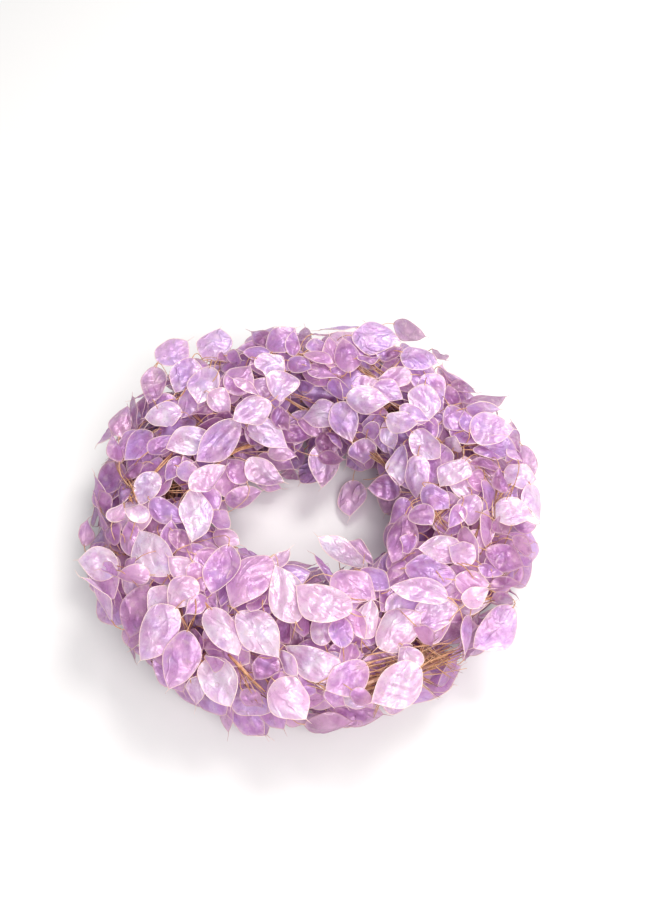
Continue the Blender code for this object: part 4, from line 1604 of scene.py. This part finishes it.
# Shades of stems and of rims, where a pair is the dark and the light part of the grain
FRESH_STEM = (rgb(0.38, 0.15, 0.07), rgb(0.62, 0.34, 0.18))
PALE_STEM = rgb(0.74, 0.50, 0.35)
OLD_STEM = rgb(0.17, 0.055, 0.05)
LIGHT_RIM = (rgb(0.84, 0.60, 0.52), rgb(0.93, 0.77, 0.71))
DARK_RIM = rgb(0.48, 0.25, 0.32)
BARE_WIRE = rgb(0.30, 0.29, 0.27)
RUST = rgb(0.27, 0.14, 0.08)
GROUND = rgb(0.74, 0.73, 0.72)
# How many prints and specks there could be on a millimetre
PRINT_SCALE = 0.075
SPECK_SCALE = 0.21
# How far a pod's own number moves its pattern, in millimetres
PATTERN_SHIFT = (97.7, 61.3, 9.1)


def pod_material():
    """Dyed papery membrane: mottled lilac with a pearly gloss, with faint prints of its seeds, and with
    painted light and shade in its colour.
    """
    n = Nodes("pod_membrane")
    x, y, drawn = n.split(n.vector("mark"))
    depth, pale, wrinkled = n.split(n.vector("look"))
    pattern = n.math("FLOOR", drawn)
    pink = n.math("FRACT", drawn)

    # Places on the pod in millimetres, moved by the pod's own draw so that no two pods share a pattern
    shifted = n.add(
        "CombineXYZ",
        X=n.math("MULTIPLY_ADD", pattern, PATTERN_SHIFT[0], x),
        Y=n.math("MULTIPLY_ADD", pattern, PATTERN_SHIFT[1], y),
        Z=n.math("MULTIPLY", pattern, PATTERN_SHIFT[2]),
    ).outputs[0]
    stretched = n.add("Mapping", Vector=shifted, Scale=(1.0, 0.60, 1.0)).outputs[0]

    # How pale each place is: the pod's paleness with its painted light and shade, and large clouds, streaks
    # and flecks that are partly the dye's mottling and partly painted pearly highlights and shade
    mottle = n.noise(shifted, 0.075, 3.0, 0.55, 0.4)
    streak = n.noise(stretched, 0.24, 3.0, 0.55, 0.3)
    flecks = n.noise(stretched, 0.80, 2.0, 0.60, 0.2)
    cloudy = n.swayed(n.math("MULTIPLY_ADD", pale, 0.82, 0.04), mottle, 0.70)
    shade = n.swayed(n.swayed(cloudy, streak, 0.42), flecks, 0.30, clamp=True)

    # Shades from deep mauve to pearl, with a pinker or bluer hue, where noise adds painted reflections of the
    # bluish sky and painted pink light shining through, then warm clouds and a glow along the rim
    colour = DARKEST
    for low, high, paler in PALER_SHADES:
        colour = n.mix(n.ranged(shade, low, high), colour, paler)
    # Painted reflection and light: noise moves each pod's own hue to bluish patches of painted sky reflection
    # and pinker patches of painted light shining through
    hue = n.swayed(pink, n.noise(shifted, 0.07, 2.0), 2.2)
    colour = n.mix(n.ranged(hue, 0.40, 1.1, 0.0, 0.46), colour, PINK_TINT_AND_PAINTED_SHINE)
    colour = n.mix(n.ranged(hue, -0.1, 0.50, 0.40, 0.0), colour, BLUE_TINT_AND_PAINTED_SKY)
    clouds = n.noise(shifted, 0.16, 3.0, 0.6, 0.5)
    colour = n.mix(n.ranged(clouds, 0.52, 0.72, 0.0, 0.42), colour, WARMER)
    colour = n.mix(n.ranged(depth, 0.80, 1.0, 0.0, 0.30), colour, RIM_GLOW)

    # Faint brown prints where the seeds lay, and fine dark specks
    far, draws = n.scattered(shifted, PRINT_SCALE)
    seed_ring = n.math("SUBTRACT", n.ranged(far, 0.9, 1.4), n.ranged(far, 1.5, 2.1))
    colour = n.mix(n.product(seed_ring, n.ranged(draws[0], 0.72, 0.76), 0.40), colour, SEED_PRINT)
    far, draws = n.scattered(shifted, SPECK_SCALE)
    near = n.ranged(far, 0.20, 0.42, 1.0, 0.0)
    colour = n.mix(n.product(near, n.ranged(draws[1], 0.86, 0.88), 0.55), colour, SPECK)

    # Soft dents all over, and creases on the pods that dried more wrinkled
    hollows = n.noise(stretched, 0.070, 1.5, 0.40, 0.5)
    dents = n.math("MULTIPLY", hollows, n.math("MULTIPLY_ADD", wrinkled, 1.0, 2.1))
    ridge = n.math("ABSOLUTE", n.math("MULTIPLY_ADD", n.noise(stretched, 0.10, 1.5, 0.45, 0.6), 2.0, -1.0))
    creases = n.math("MULTIPLY", n.ranged(ridge, 0.0, 0.22), n.math("MULTIPLY_ADD", wrinkled, 0.55, 0.05))
    crumple = n.noise(shifted, 0.45, 2.0, 0.5, 0.5)
    relief = n.math("ADD", n.math("MULTIPLY_ADD", crumple, 0.16, dents), creases)
    bump = n.add("Bump", Strength=1.0, Distance=0.0017, Height=relief).outputs[0]

    papery = n.add(
        "BsdfPrincipled",
        Base_Color=colour,
        Roughness=n.ranged(crumple, 0.3, 0.7, 0.27, 0.42),
        Normal=bump,
        Metallic=0.20,
        Specular_IOR_Level=0.75,
        Coat_Weight=0.40,
        Coat_Roughness=0.18,
    )
    through = n.add("BsdfTranslucent", Color=n.mix(0.45, colour, SHONE_THROUGH), Normal=bump)
    sheet_shader = n.add("MixShader", i0=0.40, i1=papery.outputs[0], i2=through.outputs[0])
    clear = n.add("BsdfTransparent", Color=SEEN_THROUGH)
    thin = n.ranged(shade, 0.2, 1.0, 0.19, 0.09)
    return n.finish(n.add("MixShader", i0=thin, i1=sheet_shader.outputs[0], i2=clear.outputs[0]).outputs[0])


def stem_material():
    """Dried stalks and stems: golden tan to brown, and pale peach on the rims."""
    n = Nodes("dried_stem")
    place = n.vector("mark")
    rimmed, tone, age = n.split(n.vector("look"))
    grain = n.noise(place, 0.35, 3.0, 0.6)
    fresh = n.mix(n.ranged(grain, 0.3, 0.7), *FRESH_STEM)
    varied = n.mix(n.ranged(tone, 0.3, 1.0, 0.0, 0.6), fresh, PALE_STEM)
    old = n.mix(n.ranged(age, 0.35, 1.0, 0.0, 0.90), varied, OLD_STEM)
    light = n.mix(n.ranged(grain, 0.3, 0.7), *LIGHT_RIM)
    # Rims and styles take their pod's paleness as tone, so they are darker on darker pods and carry the pod's
    # painted light and shade
    peach = n.mix(n.ranged(tone, 0.0, 0.75), DARK_RIM, light)
    colour = n.mix(n.ranged(rimmed, 0.35, 0.85), old, peach)
    bump = n.add("Bump", Strength=0.5, Distance=0.0003, Height=n.noise(place, 1.2, 2.0)).outputs[0]
    rough = n.ranged(grain, 0.2, 0.8, 0.45, 0.7)
    return n.finish(n.add("BsdfPrincipled", Base_Color=colour, Roughness=rough, Normal=bump).outputs[0])


def wire_material():
    """Dull florist's wire with a little rust."""
    n = Nodes("florist_wire")
    place = n.add("TexCoord").outputs["Object"]
    spots = n.noise(place, 420.0, 4.0, 0.6)
    colour = n.mix(n.ranged(spots, 0.5, 0.65), BARE_WIRE, RUST)
    bump = n.add("Bump", Strength=0.3, Distance=0.0002, Height=spots).outputs[0]
    rough = n.ranged(spots, 0.3, 0.7, 0.35, 0.6)
    steel = n.add("BsdfPrincipled", Base_Color=colour, Roughness=rough, Normal=bump, Metallic=0.85)
    return n.finish(steel.outputs[0])


def floor_material():
    """Plain pale ground."""
    n = Nodes("pale_floor")
    plain = n.add("BsdfPrincipled", Base_Color=GROUND, Roughness=0.8)
    return n.finish(plain.outputs[0])


# Fine stems of the ring and loose stems in the foliage
RING_STRANDS = 190
STRAND_SWEEPS = (60.0, 150.0)  # degrees round the wreath
STRAND_RADII = (0.0005, 0.0011)
STRAND_STEP = 5.0  # degrees between a strand's points
STRAND_SIDES = 5
STRAND_PLACES = (0.0, 0.08, 0.85, 1.0)
STRAND_TAPER = (0.7, 1.0, 0.85, 0.45)
STRAND_WOBBLE = 0.0006
STRAND_AGES = (0.4, 1.0)
STRAND_INSET = 0.0008  # how far the outermost keep within the CAD ring
WOBBLE_RATES = (1.5, 4.0)
WOBBLE_SHARES = (0.3, 1.0)
LEAST_POINTS = 4
LOOSE_STEMS = 210
LOOSE_SWEEPS = (22.0, 60.0)
LOOSE_TURNS = (-20.0, 200.0)
LOOSE_DRIFT = 14.0
LOOSE_START = 0.012  # reach at which they leave the ring
LOOSE_SHARES = (0.45, 0.95)  # of the foliage's reach, where they end
LOOSE_WOBBLE = 0.0025
LOOSE_STEP = 6.0
LOOSE_SIDES = 4
LOOSE_AGES = (0.2, 1.0)
LOOSE_RADII = (0.00035, 0.0008)
STEMS_STEPS = 12
# Stems as the photo shows them, under the pods: the pixels of both ends, how far the middle bulges, how many
# there are, how far they stray sideways, all in pixels, and the radius of the thickest in millimetres
SHOWN_STEMS = (
    # Big messy bundle at the front right
    (358, 690, 462, 646, 2, 16, 9, 1.00),
    (354, 672, 456, 652, -2, 14, 10, 0.65),
    (356, 694, 414, 664, 3, 10, 8, 1.20),
    (366, 676, 430, 672, 2, 10, 9, 0.80),
    (364, 704, 404, 650, 0, 9, 14, 0.55),
    (398, 690, 446, 638, 0, 9, 14, 0.50),
    (410, 644, 462, 676, 0, 8, 12, 0.45),
    (378, 656, 440, 690, 0, 8, 12, 0.50),
    # Back, and back right
    (351, 360, 378, 379, 2, 9, 3, 0.50),
    (364, 357, 388, 376, 2, 8, 4, 0.45),
    (303, 357, 345, 378, 3, 3, 2, 0.50),
    (282, 352, 332, 366, -2, 3, 2, 0.80),
    (283, 397, 310, 412, 0, 2, 2, 0.90),
    (290, 391, 317, 403, 0, 2, 2, 0.85),
    (388, 374, 404, 350, 2, 4, 3, 0.50),
    # Left of the hole, and left
    (217, 461, 264, 442, -3, 11, 4, 0.70),
    (188, 432, 232, 425, 3, 5, 3, 0.50),
    (190, 412, 216, 432, 2, 5, 4, 0.50),
    (118, 462, 138, 492, 4, 5, 3, 0.50),
    (126, 478, 138, 505, 0, 10, 5, 0.60),
    (124, 500, 142, 480, 0, 6, 5, 0.50),
    (152, 476, 173, 454, 0, 2, 2, 0.90),
    (164, 491, 198, 489, 1, 2, 2, 0.70),
    (150, 440, 165, 432, 2, 4, 5, 0.45),
    # Edge of the hole at the back right
    (345, 432, 396, 470, 2, 12, 4, 0.50),
    (356, 440, 392, 474, -3, 6, 6, 0.40),
    # Right
    (428, 505, 452, 532, 2, 10, 7, 0.50),
    (452, 505, 430, 530, 2, 7, 6, 0.45),
    (464, 457, 502, 502, -6, 4, 3, 0.50),
    (500, 474, 494, 532, 3, 4, 3, 0.50),
    (516, 482, 496, 506, 0, 6, 4, 0.50),
    (472, 545, 482, 510, 2, 4, 3, 0.45),
    (468, 592, 492, 583, 0, 3, 2, 0.55),
    (472, 605, 504, 597, 0, 4, 3, 0.60),
    (498, 584, 510, 568, 0, 5, 3, 0.50),
    # Front left
    (176, 603, 187, 634, 0, 9, 4, 0.65),
    (188, 643, 205, 670, 0, 9, 4, 0.70),
    (186, 655, 192, 684, 0, 5, 3, 0.60),
    (230, 657, 268, 695, 0, 3, 2, 0.95),
    (238, 660, 258, 706, 2, 5, 4, 0.50),
    (283, 650, 300, 672, 0, 4, 4, 0.50),
    (308, 682, 332, 690, 0, 4, 4, 0.50),
)
STEM_DEPTHS = (0.0015, 0.0075)  # how far under the foliage's outline the shown stems run
STEM_ENDS = 0.006  # how much deeper their ends are
STEM_LIFT = 0.010  # how far they may rise from there to pass over a pod
STEM_ROOM = 0.0011  # kept between them and a pod
STEM_SHEETS = 0.012  # how far behind a stem a pod of the photo may still be to push it further down
STEM_FLOOR = 0.002
STEM_THINNEST = 0.45  # of the thickest
BUNDLE_SHARES = (0.0, 0.25, 0.5, 0.75, 1.0)
BUNDLE_EDGE = 0.7  # of the stray, to the edge of the strip that stands for a bundle
# A stem's stray from its row: how far its ends turn, where they start and end, and its slow wave
STRAY_SHARE = 0.5
SKEW_SHARE = 0.8
EARLY_ENDS = (-0.10, 0.20)
LATE_ENDS = (0.80, 1.05)
WAVE_SIZES = (0.25, 0.12)  # in pixels, least, and how much more for each pixel of stray
WAVE_RATE = 5.0
TOP_STRAY = 0.3
TOP_ROOM = 0.0004  # between such a stalk and what it lies on
TOP_SPAN = 5  # points over which it spans the gaps
TOP_AGE = 0.3
BEYOND = 1.0  # further from the camera than any part of the wreath
HIT_START = 0.5  # nearer to it than any
HIT_STEP = 0.0003
# Stalks that lie on top of the pods: the pixels of both ends, the bulge, and the radius in millimetres
TOP_STALKS = (
    (163, 402, 175, 399, 0, 0.60),
    (174, 401, 186, 383, 3, 0.60),
    (195, 596, 190, 629, -3, 0.55),
    (205, 601, 213, 611, 0, 0.50),
    (226, 605, 240, 613, -1, 0.45),
    (296, 621, 293, 641, 0, 0.50),
    (447, 597, 463, 622, -4, 0.50),
    (380, 594, 390, 589, 1, 0.45),
    (340, 378, 348, 371, 1, 0.50),
    (366, 479, 390, 463, 5, 0.45),
    (213, 382, 220, 362, 2, 0.45),
    (220, 361, 231, 365, 0, 0.45),
    (153, 399, 159, 410, 0, 0.45),
    (173, 555, 191, 543, -2, 0.55),
    (350, 598, 368, 600, 1, 0.45),
    (362, 642, 374, 652, 1, 0.45),
    (480, 556, 497, 541, -3, 0.50),
    (454, 563, 474, 578, -3, 0.45),
    (436, 571, 444, 582, 0, 0.40),
    (489, 565, 491, 582, -2, 0.45),
    (318, 684, 330, 676, 0, 0.50),
    (248, 650, 272, 658, 3, 0.40),
    (262, 600, 263, 612, 0, 0.45),
    (170, 575, 160, 585, 0, 0.45),
)


def ring_path(dice, start, sweep, turns, reaches, wobble, step=STRAND_STEP):
    """Points of a stem that follows the ring while its turn and reach change evenly, with a slow wobble."""
    count = max(LEAST_POINTS, int(sweep / step) + 1)
    waves = [
        (dice.uniform(*WOBBLE_RATES), dice.uniform(0.0, math.tau), dice.uniform(*WOBBLE_SHARES) * wobble)
        for _ in range(2)
    ]
    points = []
    for s in np.linspace(0.0, 1.0, count):
        angle = math.radians(start + sweep * s)
        reach = reaches[0] + (reaches[1] - reaches[0]) * s
        turn = math.radians(turns[0] + (turns[1] - turns[0]) * s)
        (rate_a, start_a, size_a), (rate_b, start_b, size_b) = waves
        point = ring_point(angle, turn, reach)
        point += outward(angle, turn) * (size_a * math.sin(rate_a * angle + start_a))
        point += outward(angle, turn + math.pi / 2) * (size_b * math.sin(rate_b * angle + start_b))
        points.append(array(point))
    return np.array(points)


def add_strand(batch, path, radius, tone, age, sides=STRAND_SIDES):
    taper = np.interp(np.linspace(0, 1, len(path)), STRAND_PLACES, STRAND_TAPER)
    batch.add_stem(path, radius * taper, sides, (0.0, tone, age))


def bound_stems(batch):
    """The ring itself: stems that overlap along it, twisted like the lobes of the CAD ring."""
    dice = random.Random(SEED + 7)
    for _ in range(RING_STRANDS):
        start, sweep = dice.uniform(0.0, 360.0), dice.uniform(*STRAND_SWEEPS)
        reach = (STEM_RING_RADIUS - STRAND_INSET) * math.sqrt(dice.random())
        turn = dice.uniform(0.0, 360.0)
        turns = (turn, turn + STEM_RING_TWISTS * sweep)
        path = ring_path(dice, start, sweep, turns, (reach, reach), STRAND_WOBBLE)
        add_strand(batch, path, dice.uniform(*STRAND_RADII), dice.random(), dice.uniform(*STRAND_AGES))


def loose_stems(batch):
    """Fine stems that run through the foliage and show between the pods."""
    dice = random.Random(SEED + 8)
    for _ in range(LOOSE_STEMS):
        start, sweep = dice.uniform(0.0, 360.0), dice.uniform(*LOOSE_SWEEPS)
        turn = dice.uniform(*LOOSE_TURNS)
        end = turn + dice.gauss(0.0, LOOSE_DRIFT)
        share = dice.uniform(*LOOSE_SHARES)
        reach = section_reach(math.radians(start + sweep), math.radians(end)) * share
        path = ring_path(dice, start, sweep, (turn, end), (LOOSE_START, reach), LOOSE_WOBBLE, LOOSE_STEP)
        radius, tone, age = dice.uniform(*LOOSE_RADII), dice.random(), dice.uniform(*LOOSE_AGES)
        add_strand(batch, path, radius, tone, age, LOOSE_SIDES)


def photo_path(dice, row, stray):
    """Directions from the camera along a stem of the photo, which bulges to one side and strays a little."""
    bulge = row[4]
    offset, skew = dice.gauss(0.0, stray), dice.gauss(0.0, stray * SKEW_SHARE)
    early, late = dice.uniform(*EARLY_ENDS), dice.uniform(*LATE_ENDS)
    wave, start = dice.gauss(0.0, WAVE_SIZES[0] + WAVE_SIZES[1] * stray), dice.uniform(0.0, math.tau)
    rays = []
    for s in np.linspace(early, late, STEMS_STEPS):
        aside = offset + skew * (s - 0.5) * 2.0 + bulge * 4.0 * s * (1.0 - s)
        rays.append(ray_beside(row, s, aside + wave * math.sin(WAVE_RATE * s + start)))
    return rays


def along_rays(rays, depths):
    """Points at the given distances from the camera along its rays."""
    return np.array([array(CAMERA_PLACE + ray * far) for ray, far in zip(rays, depths)])


def last_hit(tree, ray, before):
    """How far from the camera a ray leaves the last sheet that it meets before a distance, or None."""
    found, far = None, HIT_START
    while True:
        hit = tree.ray_cast(CAMERA_PLACE + ray * far, ray, before - far)[3]
        if hit is None:
            return found
        far += hit + HIT_STEP
        found = far


def shown_stems(batch, laid, others):
    """Bundles of stems that the photo shows between the pods: under its pods, and over the others."""
    dice = random.Random(SEED + 9)
    for row in SHOWN_STEMS:
        count, spread, thickest = row[5:]
        for _ in range(count):
            rays = photo_path(dice, row, spread * STRAY_SHARE)
            sunk = dice.uniform(*STEM_DEPTHS)
            depths = []
            for s, ray in zip(np.linspace(-1.0, 1.0, STEMS_STEPS), rays):
                far = (first_foliage(ray) - CAMERA_PLACE).length + sunk + STEM_ENDS * s * s
                over = others.ray_cast(CAMERA_PLACE, ray, far)[3] or far
                far = max(over - STEM_ROOM * (1.0 + dice.random()), far - STEM_LIFT)
                depths.append(max(far, (last_hit(laid, ray, far + STEM_SHEETS) or 0.0) + STEM_ROOM))
            depths = np.convolve(np.pad(depths, 1, "edge"), (0.25, 0.5, 0.25), "valid")
            path = along_rays(rays, depths)
            path[:, 2] = np.maximum(path[:, 2], STEM_FLOOR)
            radius = thickest * MILLIMETRE * dice.uniform(STEM_THINNEST, 1.0)
            add_strand(batch, path, radius, dice.random(), dice.random())


def top_stalks(batch, everything):
    """Single stalks that lie on top of the pods."""
    dice = random.Random(SEED + 10)
    for row in TOP_STALKS:
        radius = row[5] * MILLIMETRE
        rays = photo_path(dice, row, TOP_STRAY)
        depths = []
        for ray in rays:
            hit = everything.ray_cast(CAMERA_PLACE, ray, BEYOND)[3]
            depths.append(hit - radius - TOP_ROOM if hit else (first_foliage(ray) - CAMERA_PLACE).length)
        # The stalk spans the gaps between what it lies on
        even = np.convolve(np.pad(depths, TOP_SPAN // 2, "edge"), np.full(TOP_SPAN, 1 / TOP_SPAN), "valid")
        depths = np.minimum(depths, even)
        straight = np.interp(np.arange(STEMS_STEPS), (0, STEMS_STEPS - 1), (depths[0], depths[-1]))
        path = along_rays(rays, np.minimum(depths, straight))
        add_strand(batch, path, radius, dice.random(), dice.random() * TOP_AGE)


def grow(sprays):
    """Draws the looks of the CAD pods, and adds the photo's pods and filling pods. Returns the photo's."""
    for number, spray in enumerate(sprays):
        spray["shown"], spray["extra"] = [], []
        dice = random.Random(SEED * 3 + number)
        for pod in spray["pods"]:
            add_character(pod, dice, 0.0)
            if pod["hangs"]:
                pod["pale"], pod["pink"], pod["wrinkled"] = HANGING_LOOK
            # Painted light: pods that rest on the floor are painted paler
            if pod["rests"]:
                pod["pale"] = max(pod["pale"], RESTING_PAINTED_LIGHT)
    crowd = gather(sprays)
    laid = lay_shown(sprays, crowd)
    fill_in(sprays, crowd, joined(laid, SHOWN_STEMS))
    return laid


def smooth_line(values, at):
    """Values between evenly spaced ones, on a curve that passes through each of them."""
    i = np.clip(at.astype(int), 0, len(values) - 2)
    s = at - i
    before = values[np.maximum(i - 1, 0)]
    here, there = values[i], values[i + 1]
    after = values[np.minimum(i + 2, len(values) - 1)]
    cubic = 3 * (here - there) + after - before
    square = 2 * before - 5 * here + 4 * there - after + s * cubic
    return here + 0.5 * s * (there - before + s * square)


def add_main_stem(batch, stem, dice):
    """The stem that a spray's stalks grow from."""
    places = np.array([array(p) for p in stem])
    fine = np.linspace(0, len(places) - 1, STEM_FINE_STEPS)
    path = np.column_stack([smooth_line(places[:, k], fine) for k in range(3)])
    radii = STEM_RADIUS * np.interp(fine, (0, len(places) - 1), STEM_TAPER)
    batch.add_stem(path, radii, STEM_FINE_SIDES, (0.0, dice.random(), dice.random() * STEM_AGE))


def build_spray(spray, number, pod_look, stem_look):
    """One mesh of membranes and one of stalks, in place of a spray's CAD node."""
    name = f"spray_{spray['bunch'] + 1:02d}_{spray['lane'].name}"
    membranes, stalks = Batch(), Batch()
    for pod in spray["pods"] + spray["shown"] + spray["extra"]:
        add_membrane(membranes, pod)
        add_rim(stalks, pod)
        add_stalk(stalks, pod, spray["stem"])
    add_main_stem(stalks, spray["stem"], random.Random(SEED * 5 + number))
    pods = membranes.build(name + "_pods", pod_look)
    stems = stalks.build(name + "_stalks", stem_look)
    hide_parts(name)


def build_ring(stem_look):
    """The bound stems, in place of their CAD node."""
    batch = Batch()
    bound_stems(batch)
    ring = batch.build("bound_stems", stem_look)
    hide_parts("stem_ring")


def build_loose_stems(sprays, laid, stem_look):
    """The stems that belong to no spray, as one mesh."""
    others = [pod for kind in ("pods", "extra") for spray in sprays for pod in spray[kind]]
    batch = Batch()
    loose_stems(batch)
    shown_stems(batch, joined(laid), joined(others))
    top_stalks(batch, joined(others + laid))
    batch.build("loose_stems", stem_look)


def build_wires(wire_look):
    """The hoop and the binding wire, each rounder than its CAD node and in place of it."""
    for name, shape in (("hoop", hoop_shape(*HOOP_FINE)), ("binding_wire", binding_shape(*BINDING_FINE))):
        vertices, faces = shape
        made = mesh_object(name + "_fine", [tuple(v) for v in vertices], faces, wire_look)
        made.data.shade_smooth()
        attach(made, "root")
        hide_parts(name)


def make_camera():
    """The photo's camera: above the front of the wreath, looking down, turned and rolled a little."""
    right, up, ahead = camera_axes()
    camera = in_scene("camera", bpy.data.cameras.new("camera"))
    camera.data.sensor_width = SENSOR
    camera.data.lens = FOCAL_PIXELS / max(PHOTO_SIZE) * SENSOR
    camera.data.clip_start = CLIP_START
    axes = Matrix((right, up, -ahead)).transposed()
    camera.matrix_world = Matrix.Translation(CAMERA_PLACE) @ axes.to_4x4()
    bpy.context.scene.camera = camera


def area_light(name, place, size, power, colour):
    """A round lamp that faces the wreath."""
    lamp = bpy.data.lights.new(name, "AREA")
    lamp.shape = "DISK"
    lamp.size = size
    lamp.energy = power
    lamp.color = colour
    made = in_scene(name, lamp)
    made.location = place
    made.rotation_euler = (LIGHTS_TARGET - Vector(place)).to_track_quat("-Z", "Y").to_euler()


def make_studio():
    """A pale floor under soft white light from the back right and, as strong, from the front right."""
    far = FLOOR_REACH
    corners = [(-far, -far, 0), (far, -far, 0), (far, far, 0), (-far, far, 0)]
    floor = mesh_object("floor", corners, [(0, 1, 2, 3)], floor_material())
    for light in LIGHTS:
        area_light(*light)
    world = bpy.data.worlds.new("studio")
    world.use_nodes = True
    background = world.node_tree.nodes["Background"]
    background.inputs["Color"].default_value = SKY_COLOUR
    background.inputs["Strength"].default_value = SKY_STRENGTH
    bpy.context.scene.world = world
    bpy.context.scene.view_settings.view_transform = "Standard"


make_camera()
make_studio()
pod_look, stem_look = pod_material(), stem_material()
foliage = lay_out()
laid = grow(foliage)
for number, spray in enumerate(foliage):
    build_spray(spray, number, pod_look, stem_look)
build_ring(stem_look)
build_loose_stems(foliage, laid, stem_look)
build_wires(wire_material())
